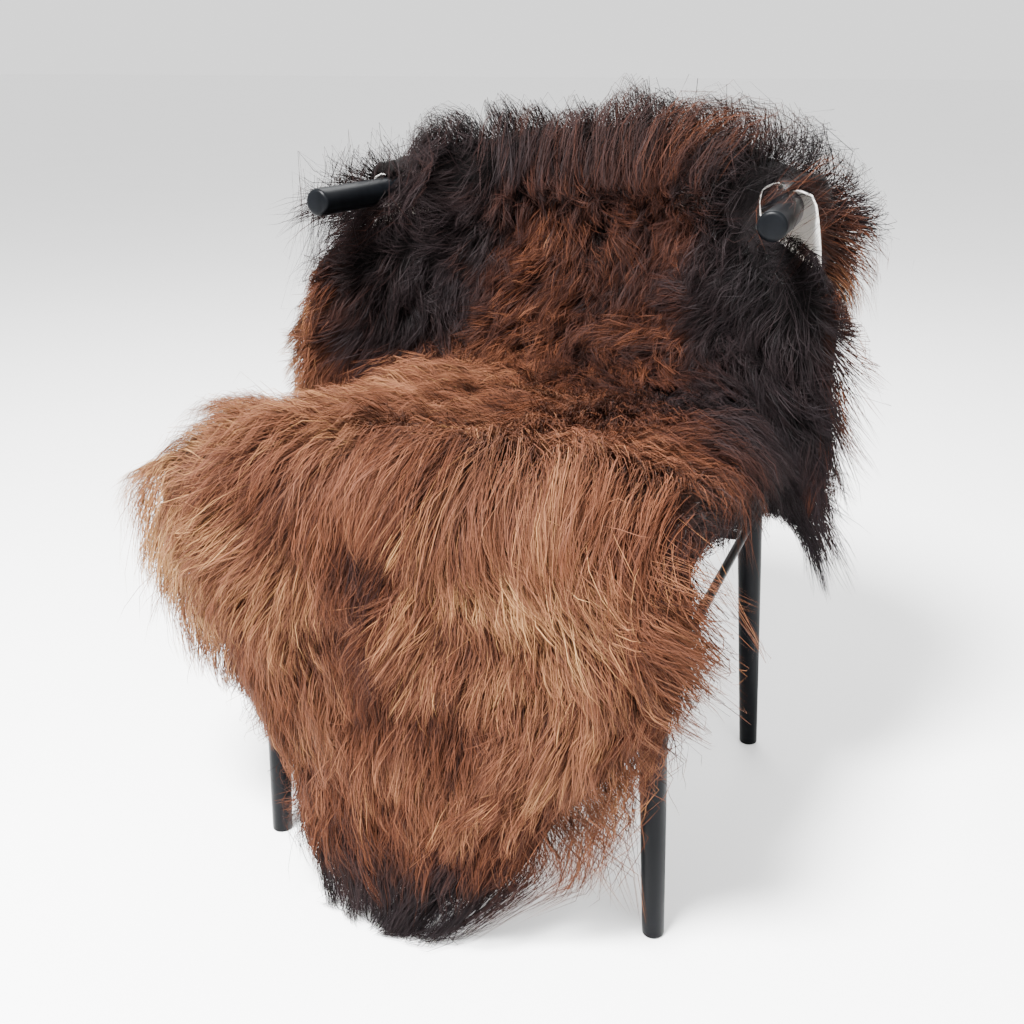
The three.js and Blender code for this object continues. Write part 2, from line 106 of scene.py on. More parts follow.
class Wire:
    """One output of a shader node, with arithmetic that adds Math nodes."""

    def __init__(self, bench: "Bench", socket: bpy.types.NodeSocket) -> None:
        """Keeps the socket and the bench that it belongs to."""
        self.bench = bench
        self.socket = socket

    def _math(self, operation: str, *values: Value) -> "Wire":
        """A Math node on this and other values."""
        return self.bench.node("ShaderNodeMath", {"operation": operation}, dict(enumerate(values)))

    def __add__(self, other: Value) -> "Wire":
        """The sum."""
        return self._math("ADD", self, other)

    __radd__ = __add__

    def __sub__(self, other: Value) -> "Wire":
        """The difference."""
        return self._math("SUBTRACT", self, other)

    def __rsub__(self, other: Value) -> "Wire":
        """The difference, the other way round."""
        return self._math("SUBTRACT", other, self)

    def __mul__(self, other: Value) -> "Wire":
        """The product."""
        return self._math("MULTIPLY", self, other)

    __rmul__ = __mul__


class Bench:
    """The node tree of one material."""

    def __init__(self, name: str) -> None:
        """Starts an empty material.

        Args:
            name: The material's name.
        """
        self.material = bpy.data.materials.new(name)
        self.material.use_nodes = True
        self.tree = self.material.node_tree
        self.tree.nodes.clear()

    def node(
        self, kind: str, settings: dict | None = None, inputs: dict | None = None, output: int | str = 0
    ) -> Wire:
        """Adds one node.

        Args:
            kind: The node's type.
            settings: What is set on the node first; stops gives a ramp's places and colours.
            inputs: The values or wires of its sockets, by name or number.
            output: Which output the wire carries.

        Returns:
            The chosen output.
        """
        made = self.tree.nodes.new(kind)
        for key, value in (settings or {}).items():
            if key == "stops":
                self._set_stops(made.color_ramp, value)
            else:
                setattr(made, key, value)
        for key, value in (inputs or {}).items():
            if isinstance(value, Wire):
                self.tree.links.new(value.socket, made.inputs[key])
            else:
                made.inputs[key].default_value = value
        return Wire(self, made.outputs[output])

    @staticmethod
    def _set_stops(ramp: bpy.types.ColorRamp, stops: Stops) -> None:
        """Gives a colour ramp its stops.

        Args:
            ramp: The ramp.
            stops: Places from 0 to 1 with their colours.
        """
        while len(ramp.elements) < len(stops):
            ramp.elements.new(0.5)
        for element, (place, colour) in zip(ramp.elements, stops):
            element.position = place
            element.color = (*colour, 1.0)

    def ramp(self, factor: Wire, stops: Stops) -> Wire:
        """A colour that follows a number through some stops."""
        return self.node("ShaderNodeValToRGB", {"stops": stops}, {0: factor})

    def noise(self, scale: float, detail: float = 4.0, stretch: Triple = (1, 1, 1)) -> Wire:
        """Noise over the piece's own place in space.

        Args:
            scale: How many lumps there are in a metre.
            detail: How many finer octaves are added.
            stretch: Factors along each axis.

        Returns:
            The noise, from 0 to 1.
        """
        place = self.node("ShaderNodeTexCoord", output="Object")
        turned = self.node("ShaderNodeMapping", {}, {"Vector": place, "Scale": stretch})
        inputs = {"Vector": turned, "Scale": scale, "Detail": detail}
        return self.node("ShaderNodeTexNoise", {}, inputs)

    def blend(self, factor: Value, first: Value, second: Value, way: str = "MIX") -> Wire:
        """Mixes two colours.

        Args:
            factor: The second colour's share.
            first: The colour below.
            second: The colour above.
            way: How the second works on the first.

        Returns:
            The mixed colour.
        """
        settings = {"data_type": "RGBA", "blend_type": way}
        return self.node("ShaderNodeMix", settings, {0: factor, 6: first, 7: second}, output=2)

    def bump(self, height: Wire, depth: float, strength: float = 1.0) -> Wire:
        """A normal bent by a height.

        Args:
            height: The height, from 0 to 1.
            depth: What a height of 1 stands for, in metres.
            strength: How much of it shows.

        Returns:
            The bent normal.
        """
        inputs = {"Strength": strength, "Distance": depth, "Height": height}
        return self.node("ShaderNodeBump", {}, inputs)

    def finish(self, **sockets: Value) -> bpy.types.Material:
        """Closes the material with one Principled shader.

        Args:
            sockets: Its sockets' values or wires, with underscores for spaces.

        Returns:
            The finished material.
        """
        inputs = {key.replace("_", " "): value for key, value in sockets.items()}
        shader = self.node("ShaderNodeBsdfPrincipled", {}, inputs)
        out = self.tree.nodes.new("ShaderNodeOutputMaterial")
        self.tree.links.new(shader.socket, out.inputs["Surface"])
        return self.material


@dataclass(frozen=True)
class BlackWood:
    """Satin black lacquer on close-grained wood."""

    base: Colour = (0.0012, 0.0014, 0.0018)
    worn: Colour = (0.003, 0.0034, 0.0042)
    roughness: float = 0.36
    grain_scale: float = 90.0
    grain_stretch: Triple = (1.0, 1.0, 0.09)
    grain_depth: float = 0.00025
    cloud_scale: float = 16.0
    specular: float = 0.05

    def material(self) -> bpy.types.Material:
        """Makes the lacquer.

        Returns:
            The material.
        """
        bench = Bench("satin_black_wood")
        grain = bench.noise(self.grain_scale, 5, self.grain_stretch)
        cloud = bench.noise(self.cloud_scale, 3)
        colour = bench.ramp(grain * 0.55 + cloud * 0.45, [(0.35, self.base), (0.72, self.worn)])
        rough = (cloud - 0.5) * 0.16 + (grain - 0.5) * 0.1 + self.roughness
        return bench.finish(
            Base_Color=colour,
            Roughness=rough,
            Normal=bench.bump(grain, self.grain_depth, 0.35),
            Specular_IOR_Level=self.specular,
        )


@dataclass(frozen=True)
class FleshSide:
    """The tanned flesh side and the cut edge: off-white suede."""

    pale: Colour = (0.63, 0.6, 0.56)
    grey: Colour = (0.44, 0.42, 0.4)
    broad_scale: float = 9.0
    nap_scale: float = 420.0
    wrinkle_scale: float = 38.0
    wrinkle_stretch: Triple = (1.0, 0.55, 1.4)
    nap_depth: float = 0.0012
    roughness: float = 0.92
    sheen: float = 0.25

    def material(self) -> bpy.types.Material:
        """Makes the suede.

        Returns:
            The material.
        """
        bench = Bench("tanned_flesh_side")
        broad = bench.noise(self.broad_scale, 5)
        nap = bench.noise(self.nap_scale, 6)
        wrinkle = bench.noise(self.wrinkle_scale, 5, self.wrinkle_stretch)
        cloud = broad * 0.6 + nap * 0.25 + wrinkle * 0.15
        return bench.finish(
            Base_Color=bench.ramp(cloud, [(0.36, self.grey), (0.6, self.pale)]),
            Roughness=self.roughness,
            Normal=bench.bump(nap * 0.35 + wrinkle * 0.65, self.nap_depth, 0.6),
            Sheen_Weight=self.sheen,
        )


# The coat's colours, from the darkest tone to the palest. Linear light.
COAT_TONES = [
    (0.0, (0.0042, 0.0030, 0.0036)),
    (0.14, (0.0070, 0.0039, 0.0041)),
    (0.28, (0.0170, 0.0055, 0.0034)),
    (0.42, (0.0420, 0.0132, 0.0056)),
    (0.56, (0.0690, 0.0262, 0.0145)),
    (0.7, (0.1050, 0.0440, 0.0205)),
    (0.84, (0.1580, 0.0760, 0.0310)),
    (1.0, (0.2500, 0.1380, 0.0600)),
]
# Painted shade: how bright a hair is from its root, deep in the coat's shade, to its lit tip.
COAT_PAINTED_SHADES = [
    (0.0, (0.06, 0.045, 0.045)),
    (0.3, (0.3, 0.25, 0.25)),
    (0.6, (0.8, 0.77, 0.76)),
    (0.85, (1.15, 1.15, 1.12)),
    (1.0, (1.5, 1.5, 1.45)),
]


@dataclass(frozen=True)
class Fleece:
    """Long wool, toned by the palette map: tone runs across it and painted shade runs up it."""

    name: str = "long_wool"
    gain: float = 1.0
    roughness: float = 0.65
    sheen: float = 0.02
    sheen_roughness: float = 0.4
    specular: float = 0.06

    def material(self) -> bpy.types.Material:
        """Makes the wool's material.

        Returns:
            The material.
        """
        bench = Bench(self.name)
        place = bench.node("ShaderNodeUVMap", {"uv_map": PALETTE_MAP})
        tone = bench.node("ShaderNodeSeparateXYZ", {}, {0: place}, output="X")
        shade = bench.node("ShaderNodeSeparateXYZ", {}, {0: place}, output="Y")
        tone_colour = bench.ramp(tone, COAT_TONES)
        # The painted shade multiplies the tone's colour.
        colour = bench.blend(1.0, tone_colour, bench.ramp(shade, COAT_PAINTED_SHADES), "MULTIPLY")
        if self.gain != 1.0:
            colour = bench.blend(1.0, colour, (self.gain, self.gain, self.gain, 1.0), "MULTIPLY")
        return bench.finish(
            Base_Color=colour,
            Roughness=self.roughness,
            Specular_IOR_Level=self.specular,
            Sheen_Weight=self.sheen,
            Sheen_Roughness=self.sheen_roughness,
        )


@dataclass(frozen=True)
class PaleFloor:
    """A plain pale studio floor."""

    base: Colour = (0.95, 0.95, 0.95)
    cloudiness: float = 0.985
    roughness: float = 0.85
    specular: float = 0.2

    def material(self) -> bpy.types.Material:
        """Makes the floor's paint.

        Returns:
            The material.
        """
        bench = Bench("pale_floor")
        cloud = bench.noise(1.6, 3)
        darker = tuple(self.cloudiness * value for value in self.base)
        return bench.finish(
            Base_Color=bench.ramp(cloud, [(0.3, darker), (0.7, self.base)]),
            Roughness=self.roughness,
            Specular_IOR_Level=self.specular,
        )


# Mesh building


def add_object(name: str, mesh: bpy.types.Mesh, material: bpy.types.Material) -> bpy.types.Object:
    """Puts a mesh in the scene as a smooth object.

    Args:
        name: The piece's name.
        mesh: Its mesh, in the row frame.
        material: Its finish.

    Returns:
        The object.
    """
    mesh.materials.append(material)
    mesh.polygons.foreach_set("use_smooth", np.ones(len(mesh.polygons), bool))
    made = bpy.data.objects.new(name, mesh)
    bpy.context.scene.collection.objects.link(made)
    return made


def mesh_from(name: str, points: Array, faces: Sequence[Sequence[int]]) -> bpy.types.Mesh:
    """A mesh from points and faces."""
    mesh = bpy.data.meshes.new(name)
    whole_numbers = [list(map(int, face)) for face in faces]
    mesh.from_pydata(np.asarray(points, float).tolist(), [], whole_numbers)
    mesh.update()
    return mesh


def centripetal(stops: Array, places: Array) -> Array:
    """Points on a centripetal Catmull-Rom curve, or on several side by side.

    Args:
        stops: The curve's points, along the first axis.
        places: Where to read it, from 0 to the number of spans.

    Returns:
        The points read, along the first axis.
    """
    first = np.clip(places.astype(int), 0, len(stops) - 2)
    share = places - first
    whole = np.concatenate([[2 * stops[0] - stops[1]], stops, [2 * stops[-1] - stops[-2]]])
    before, start, end, after = (whole[first + k] for k in range(4))

    def stride(a: Array, b: Array) -> Array:
        """The square root of the distance between two sets of points."""
        return np.maximum(np.linalg.norm(b - a, axis=-1, keepdims=True), 1e-9) ** 0.5

    in_step, step, out_step = stride(before, start), stride(start, end), stride(end, after)
    leave = (start - before) / in_step - (end - before) / (in_step + step) + (end - start) / step
    reach = (end - start) / step - (after - start) / (step + out_step) + (after - end) / out_step
    leave, reach = leave * step, reach * step
    share = share.reshape((-1,) + (1,) * (stops.ndim - 1))
    square = -3 * start + 3 * end - 2 * leave - reach
    cube = 2 * start - 2 * end + leave + reach
    return start + leave * share + square * share**2 + cube * share**3


def unit(vectors: Array) -> Array:
    """The same directions with a length of 1."""
    return vectors / np.maximum(np.linalg.norm(vectors, axis=-1, keepdims=True), 1e-9)


def tube(centres: Array, radii: Sequence[float], sides: int, up: Triple) -> Loft:
    """A closed tube through some centres, with a flat cap at each end.

    Args:
        centres: Points on the middle line.
        radii: The radius at each of them.
        sides: How many corners a ring has.
        up: A direction that is never along the tube.

    Returns:
        Points and faces.
    """
    ahead = unit(np.gradient(centres, axis=0))
    across = unit(np.cross(np.array(up), ahead))
    over = np.cross(ahead, across)
    angles = (np.arange(sides) * 2 * math.pi / sides)[None, :, None]
    ring = across[:, None] * np.cos(angles) + over[:, None] * np.sin(angles)
    points = (centres[:, None] + ring * np.asarray(radii)[:, None, None]).reshape(-1, 3)
    return points, ring_faces(len(centres), sides)


def ring_faces(rings: int, sides: int) -> list:
    """The faces of a closed loft through rings of equal length."""
    faces = []
    for start in range(0, (rings - 1) * sides, sides):
        for i in range(sides):
            near, far = start + i, start + (i + 1) % sides
            faces.append((near, far, far + sides, near + sides))
    faces.append(tuple(reversed(range(sides))))
    faces.append(tuple(range((rings - 1) * sides, rings * sides)))
    return faces


# The chair

# A rod's radius along it: the share of its length, and the share of its full radius there.
ROD_PROFILE = (
    (0.0, 0.86),
    (0.003, 0.97),
    (0.012, 1.0),
    (0.5, 1.0),
    (0.988, 1.0),
    (0.997, 0.97),
    (1.0, 0.86),
)
# A leg's rounded foot: the height of each ring, and how much narrower it is than the leg.
FOOT_PROFILE = ((0.0, 0.0022), (0.0004, 0.0012), (0.0012, 0.0004), (0.0028, 0.0))
# The angles at which the bow's round back passes its middle line, in degrees.
BOW_STOPS = (-90, -68, -45, -22, 0, 22, 45, 68, 90)
# The angles at which the bow's domed ends are cut into rings, in degrees.
CAP_STOPS = (86, 68, 50, 32, 14)


@dataclass
class Chair:
    """The slim black chair that the rug falls over, in the part's design sizes."""

    shift: Array
    finish: BlackWood = field(default_factory=BlackWood)
    seat_top: float = 0.448
    seat_thick: float = 0.026
    seat_front: tuple[float, float] = (0.232, -0.235)
    seat_rear: tuple[float, float] = (0.221, 0.212)
    seat_corner: float = 0.038
    seat_edge: float = 0.005
    foot_front: tuple[float, float] = (0.230, -0.213)
    foot_rear: tuple[float, float] = (0.220, 0.213)
    splay: float = 0.038
    rear_lean: float = 0.074
    foot_radius: float = 0.0115
    leg_radius: float = 0.0165
    rod_radius: float = 0.0055
    rod_seam: float = 0.0007
    side_rod: tuple[float, float] = (0.272, 0.315)
    rear_rod: float = 0.296
    seam: float = 0.0003
    bow_radius: float = 0.0154
    bow_tip: tuple[float, float, float] = (0.260, -0.023, 0.703)
    bow_rise: float = 0.002
    bow_back_z: float = 0.709
    bow_half: float = 0.248
    bow_arc_y: float = 0.100
    bow_depth: float = 0.150
    bow_dome: float = 0.004
    bow_easing: float = 0.38
    crest_half: float = 0.168
    crest_thick: float = 0.018
    crest_top: float = 0.740
    crest_end_top: float = 0.724
    crest_easing: float = 0.003
    crest_steps: int = 36
    post_radius: float = 0.009
    post_feet: tuple = (("outer", 0.152, 0.189), ("inner", 0.055, 0.195))
    sides: int = 40
    rod_sides: int = 24

    def build(self) -> list[bpy.types.Object]:
        """Builds and dresses every piece of the chair.

        Returns:
            The pieces, the seat first.
        """
        material = self.finish.material()
        front, rear = (self.foot_front, 0.0), (self.foot_rear, self.rear_lean)
        lofts = {"seat": self._seat(), "bow_rail": self._bow(), "crest_board": self._crest()}
        for side in Side:
            lofts[f"leg_front_{side.word}"] = self._leg(side, *front)
            lofts[f"leg_rear_{side.word}"] = self._leg(side, *rear)
            ends = [(side, *front, self.side_rod[0]), (side, *rear, self.side_rod[1])]
            lofts[f"side_rod_{side.word}"] = self._rod(*ends)
            for name, x, y in self.post_feet:
                lofts[f"post_{name}_{side.word}"] = self._post(side, x, y)
        lofts["rear_rod"] = self._rod(*((side, *rear, self.rear_rod) for side in Side))
        return [self._piece(node, loft, material) for node, loft in lofts.items()]

    def _piece(self, node: str, loft: Loft, material: bpy.types.Material) -> bpy.types.Object:
        """Makes one wooden piece that stands for its node.

        Args:
            node: The node's name.
            loft: The piece's points in the design frame, and its faces.
            material: Its finish.

        Returns:
            The dressed piece.
        """
        points, faces = loft
        mesh = mesh_from(f"{node}_turned", points + self.shift, faces)
        made = add_object(f"{node}_turned", mesh, material)
        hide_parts(node)
        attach(made, BODY)
        return made

    def _leg_centre(self, side: Side, foot: tuple[float, float], lean: float, z: float) -> Array:
        """The middle of a leg at a height."""
        return np.array([side.value * (foot[0] - self.splay * z), foot[1] - lean * z, z])

    def _leg_radius(self, z: float) -> float:
        """A leg's radius at a height."""
        share = z / (self.seat_top - self.seat_thick)
        return self.foot_radius + (self.leg_radius - self.foot_radius) * share

    def _leg(self, side: Side, foot: tuple[float, float], lean: float) -> Loft:
        """A turned leg with a rounded foot.

        Args:
            side: Which side it stands on.
            foot: Its foot's place.
            lean: How far it leans forward for each unit of height.

        Returns:
            Points and faces.
        """
        top = self.seat_top - self.seat_thick - self.seam
        shaft = [(top * share, 0.0) for share in (0.25, 0.5, 0.75)]
        profile = [*FOOT_PROFILE, *shaft, (top - MM, 0.0), (top, 0.5 * MM)]
        angles = np.arange(self.sides) * 2 * math.pi / self.sides
        ring = np.stack([np.cos(angles), np.sin(angles), 0 * angles], 1)
        rings = []
        for z, trim in profile:
            radius = self._leg_radius(z) - trim
            rings.append(self._leg_centre(side, foot, lean, z) + radius * ring)
        return np.concatenate(rings), ring_faces(len(rings), self.sides)

    def _rod(self, first: tuple, second: tuple) -> Loft:
        """A thin rod between two legs.

        Args:
            first: The side, foot, lean and height at one end.
            second: The same at the other end.

        Returns:
            Points and faces.
        """
        a, b = self._leg_centre(*first), self._leg_centre(*second)
        ahead = unit(b - a)
        a = a + ahead * (self._leg_radius(first[3]) + self.rod_seam)
        b = b - ahead * (self._leg_radius(second[3]) + self.rod_seam)
        shares, radii = np.array(ROD_PROFILE).T
        return tube(a + (b - a) * shares[:, None], self.rod_radius * radii, self.rod_sides, (0, 0, 1))

    def _post(self, side: Side, x: float, y: float) -> Loft:
        """A tapered post between seat and bow."""
        angle = math.asin(x / self.bow_half)
        head = self._arc(angle)
        foot = np.array([x, y, self.seat_top + self.seam])
        head[2] -= self.bow_radius + self.seam
        shares = np.linspace(0, 1, 5)[:, None]
        centres = (foot + (head - foot) * shares) * np.array([side.value, 1, 1])
        radii = self.post_radius - MM * shares[:, 0]
        return tube(centres, radii, self.rod_sides, (0, 1, 0))

    def _seat(self) -> Loft:
        """The seat board, with round corners and eased edges.

        Returns:
            Points and faces.
        """
        (fx, fy), (rx, ry) = self.seat_front, self.seat_rear
        corners = np.array([[-fx, fy], [fx, fy], [rx, ry], [-rx, ry]])
        outline = []
        for i, corner in enumerate(corners):
            enter = corner + unit(corners[i - 1] - corner) * self.seat_corner
            leave = corner + unit(corners[(i + 1) % 4] - corner) * self.seat_corner
            for share in np.linspace(0, 1, 13):
                rest = 1 - share
                outline.append(rest**2 * enter + 2 * share * rest * corner + share**2 * leave)
        outline = np.array(outline)
        middle = outline.mean(0)
        inward = unit(middle - outline)
        rings = []
        bottom = self.seat_top - self.seat_thick
        for turn in np.linspace(-90, 90, 11):
            angle = math.radians(turn)
            trim = self.seat_edge * (1 - math.cos(angle))
            edge = self.seat_edge * (1 + math.sin(angle))
            z = bottom + edge if turn <= 0 else self.seat_top - 2 * self.seat_edge + edge
            flat = outline + inward * trim
            rings.append(np.column_stack([flat, np.full(len(flat), z)]))
        return np.concatenate(rings), ring_faces(len(rings), len(outline))

    def _arc(self, angle: float) -> Array:
        """The bow's middle line in its round back, at an angle from its rearmost point."""
        z = self.bow_tip[2] + self.bow_rise
        z += (self.bow_back_z - z) * math.cos(angle)
        x, y = self.bow_half * math.sin(angle), self.bow_arc_y + self.bow_depth * math.cos(angle)
        return np.array([x, y, z])

    def bow_line(self, count: int) -> Array:
        """Even points on the bow's middle line, from one stub arm's tip to the other's."""
        tip = np.array(self.bow_tip)
        stops = [tip * np.array([-1, 1, 1])]
        stops += [self._arc(math.radians(degrees)) for degrees in BOW_STOPS]
        stops = np.array(stops + [tip])
        dense = centripetal(stops, np.linspace(0, len(stops) - 1, count * 8))
        walked = np.concatenate([[0], np.cumsum(np.linalg.norm(np.diff(dense, axis=0), axis=1))])
        even = np.linspace(0, walked[-1], count)
        return np.column_stack([np.interp(even, walked, dense[:, axis]) for axis in range(3)])

    def _bow(self) -> Loft:
        """The round bow rail with softly domed ends.

        Returns:
            Points and faces.
        """
        line = self.bow_line(90)
        cap = []
        for turn in CAP_STOPS:
            angle = math.radians(turn)
            radius = self.bow_radius * (1 - self.bow_easing + self.bow_easing * math.cos(angle))
            cap.append((self.bow_dome * math.sin(angle), radius))
        start = unit(line[0] - line[1])
        end = unit(line[-1] - line[-2])
        centres = [line[0] + start * out for out, _ in cap] + list(line)
        centres += [line[-1] + end * out for out, _ in reversed(cap)]
        radii = [radius for _, radius in cap] + [self.bow_radius] * len(line)
        radii += [radius for _, radius in reversed(cap)]
        return tube(np.array(centres), radii, self.sides, (0, 0, 1))

    def _crest(self) -> Loft:
        """The low curved board on the back of the bow, with eased edges.

        Returns:
            Points and faces.
        """
        reach = math.asin(self.crest_half / self.bow_half)
        ease = self.crest_easing
        rings = []
        for k in range(self.crest_steps + 1):
            angle = -reach + 2 * reach * k / self.crest_steps
            share = abs(angle) / reach
            top = self.crest_top + (self.crest_end_top - self.crest_top) * share**3
            base = self._arc(angle)
            base[2] += self.bow_radius + self.seam
            out = np.array([math.sin(angle), math.cos(angle), 0.0])
            half, ring = self.crest_thick / 2, []
            for sign, low in ((1, True), (1, False), (-1, False), (-1, True)):
                z = base[2] if low else top
                lift = ease if low else -ease
                pair = [(half, z + lift), (half - ease, z)]
                if (sign > 0) != low:
                    pair = [pair[0], (half - 0.3 * ease, z + 0.3 * lift), pair[1]]
                else:
                    pair = [pair[1], (half - 0.3 * ease, z + 0.3 * lift), pair[0]]
                flat = np.array([base[0], base[1], 0])
                ring += [flat + sign * width * out + [0, 0, level] for width, level in pair]
            rings.append(np.array(ring))
        return np.concatenate(rings), ring_faces(len(rings), len(rings[0]))


# The hide

# Each row is one section across the hide, from the neck end behind the back to the tail end in
# front, as in the part's own table, in millimetres. left and right, as one sees the rug from the
# front, are the half widths to the shoulder lines. curl is how far the shoulders come forward on
# an arc, sink how much lower they lie, and outL, outR, fore and fall how the sheet runs on to its
# rim. pile is the wool's height, and tuck the share that is pressed in where the flank folds
# against the seat.
COLUMNS = (
    "x", "y", "z", "left", "right", "curl", "arc",
    "sink", "outL", "outR", "fore", "fall", "pile", "tuck",
)
SECTIONS = {
    "neckEnd": (0, 277, 606, 239, 239, 92, 62, 8, 36, 44, 62, -14, 38, 0),
    "neck": (0, 273.5, 690, 238, 238, 90, 62, 10, 34, 40, 66, 4, 50, 0),
    "crestBack": (0, 268, 738, 234, 234, 88, 62, 18, 31, 33, 65, 1, 56, 0),
    "crestTop": (0, 250, 753.5, 219, 219, 80, 62, 28, 29, 29, 60, 1, 58, 0),
    "crestFront": (0, 231.5, 738.5, 204, 204, 72, 62, 20, 30, 30, 60, 20, 54, 0),
    "backHigh": (0, 228, 698, 210, 210, 82, 68, 20, 117, 105, 62, 60, 48, 0),
    "backMid": (0, 212, 600, 222, 222, 84, 60, 2, 126, 92, 56, 70, 46, 0.1),
    "backLow": (0, 193, 530, 224, 224, 72, 55, -4, 128, 94, 50, 86, 42, 0.45),
    "hollow": (0, 152, 478, 230, 227, 46, 45, 0, 104, 70, 42, 96, 30, 0.7),
    "seatRear": (0, 92, 455, 238, 235, 26, 30, 1, 84, 52, 16, 74, 34, 0.72),
    "seatMid": (0, 10, 451.5, 240, 238, 6, 20, 0, 78, 34, 0, 46, 44, 0.45),
    "seatFore": (0, -110, 451.5, 243, 240, 0, 20, 0, 76, 18, 0, 28, 50, 0),
    "seatEdge": (-2, -229.5, 454, 243, 238, 0, 20, 1, 76, 23, 8, 20, 54, 0),
    "brow": (-3, -247, 438, 242, 236, 0, 20, 1, 74, 29, 4, 12, 56, 0),
    "bibHigh": (-4, -252, 362, 236, 232, 0, 20, 2, 62, 38, 0, 8, 56, 0),
    "bibMid": (-5, -256, 286, 204, 208, -4, 20, 0, 58, 44, -4, 6, 52, 0),
    "bibLow": (-7, -261, 212, 154, 166, -4, 20, 0, 48, 38, -4, 2, 50, 0),
    "tailHigh": (-12, -268, 142, 116, 124, -4, 20, 0, 36, 30, -4, 0, 46, 0),
    "tailLow": (-14, -277, 84, 98, 94, -4, 20, 0, 34, 30, -4, -2, 42, 0),
    "tailEnd": (-18, -286, 37, 80, 66, -2, 20, 0, 30, 28, -4, -9, 36, 0),
}
ROW_NAMES = tuple(SECTIONS)
FIRST_BELOW_ARM = "backHigh"
ROWS_PARTED = 2
TINY = 1e-6


@dataclass
class Sheet:
    """The hide's flesh side as a dense grid of points, with room around it for hair to hang.

    The grid runs beyond the rim by a margin, where the points follow the way that free hair
    hangs, so that a hair can be walked over it. Real hide is where both sides of a cell are in
    the mask.
    """

    shift: Array
    step: float = 0.009
    across: int = 72
    margin: int = 16
    shoulder: float = 0.5
    saddle: Triple = (0.68, 0.48, 0.5)
    flank: Triple = (0.52, 0.8, 0.36)
    droop: float = 2.6
    roll: float = 0.066
    rim_share: float = 0.3
    coarse_step: float = 31.0
    coarse_columns: int = 24
    lump: float = 0.15
    lump_along: float = 118.0
    lump_across: float = 96.0
    tuck_range: tuple[float, float] = (0.35, 0.65)

    def __post_init__(self) -> None:
        """Works out the grid, its normals, its mask and its wool heights."""
        self.table = dict(zip(COLUMNS, np.array(list(SECTIONS.values()), float).T))
        self.split = ROW_NAMES.index(FIRST_BELOW_ARM)
        self.lips = (self.split - ROWS_PARTED, self.split)
        self.stations = self._stations(self.step / MM)
        inner = self._points(self.stations, np.linspace(-1, 1, self.across + 1))
        self.rows_inside, self.columns_inside = inner.shape[:2]
        self.points = self._extended(inner * MM + self.shift)
        self.along = np.gradient(self.points, axis=0)
        self.sideways = np.gradient(self.points, axis=1)
        self.normals = unit(np.cross(self.along, self.sideways))
        self.cells = self._cells()
        self.rim = self._rim_distance()
        self.wool = self._wool_height()

    def _stations(self, step: float) -> Array:
        """Places along the spine, in rows, no further apart than a step in millimetres."""
        places = [0.0]
        for k in range(1, len(ROW_NAMES)):
            rise = math.hypot(*(self.table[axis][k] - self.table[axis][k - 1] for axis in "yz"))
            count = math.ceil(rise / step)
            places += [k - 1 + n / count for n in range(1, count + 1)]
        return np.array(places)

    def _section(self, k: int) -> Array:
        """The nine points that a section's curve passes, from the left rim to the right.

        Args:
            k: The section's number.

        Returns:
            The points, in millimetres of the design frame.
        """
        row = {name: values[k] for name, values in self.table.items()}
        arc = math.radians(row["arc"])
        out, fore, fall = self.saddle if k < self.split else self.flank

        def span(side: int, share: float) -> Array:
            """A point between the spine and a shoulder line."""
            half = row["left"] if side < 0 else row["right"]
            turn = arc * share
            x = row["x"] + side * half * math.sin(turn) / math.sin(arc)
            y = row["y"] - row["curl"] * (1 - math.cos(turn)) / (1 - math.cos(arc))
            return np.array([x, y, row["z"] - row["sink"] * share**2])

        def beyond(side: int, shares: Triple) -> Array:
            """A point between a shoulder line and the rim."""
            run = row["outL"] if side < 0 else row["outR"]
            way = np.array([side * run, -row["fore"], -row["fall"]])
            return span(side, 1) + way * shares

        left, right = (
            [beyond(side, (1, 1, 1)), beyond(side, (out, fore, fall)), span(side, 1), span(side, 0.5)]
            for side in (-1, 1)
        )
        return np.array(left + [span(1, 0)] + right[::-1])

    def _points(self, stations: Array, shares: Array) -> Array:
        """The flesh side at every station and share of the width, bridged where it is parted.

        Args:
            stations: Places along the spine, in rows.
            shares: Places across, from -1 to 1.

        Returns:
            A grid of points in millimetres.
        """
        stops = np.array([self._section(k) for k in range(len(ROW_NAMES))]).swapaxes(0, 1)
        spans = len(stops) - 1
        lines = centripetal(stops, (shares + 1) / 2 * spans).swapaxes(0, 1)
        whole = centripetal(lines, stations)
        first, second = self.lips
        above = stations <= first + TINY
        below = stations >= second - TINY
        between = ~(above | below)
        upper = centripetal(lines[: first + 1], stations[above])
        lower = centripetal(lines[second:], stations[below] - second)
        share = ((stations[between] - first) / ROWS_PARTED)[:, None, None]
        bridge = upper[-1] * (1 - share) + lower[0] * share
        parted = np.abs(shares) > self.shoulder + TINY
        whole[:, parted] = np.concatenate([upper, bridge, lower])[:, parted]
        return whole

    def _extended(self, inner: Array) -> Array:
        """The grid with its margin, which droops as free hair does.

        Args:
            inner: The grid of the hide itself.

        Returns:
            The larger grid.
        """
        grid = inner
        for axis in (0, 1):
            grid = np.moveaxis(grid, axis, 0)
            steps = np.arange(1, self.margin + 1)[:, None, None] * self.step
            sag = np.array([0.0, 0.0, -self.droop]) * steps**2
            head = unit(grid[0] - grid[2])
            tail = unit(grid[-1] - grid[-3])
            before = (grid[0] + head * steps + sag)[::-1]
            after = grid[-1] + tail * steps + sag
            grid = np.moveaxis(np.concatenate([before, grid, after]), 0, axis)
        return grid

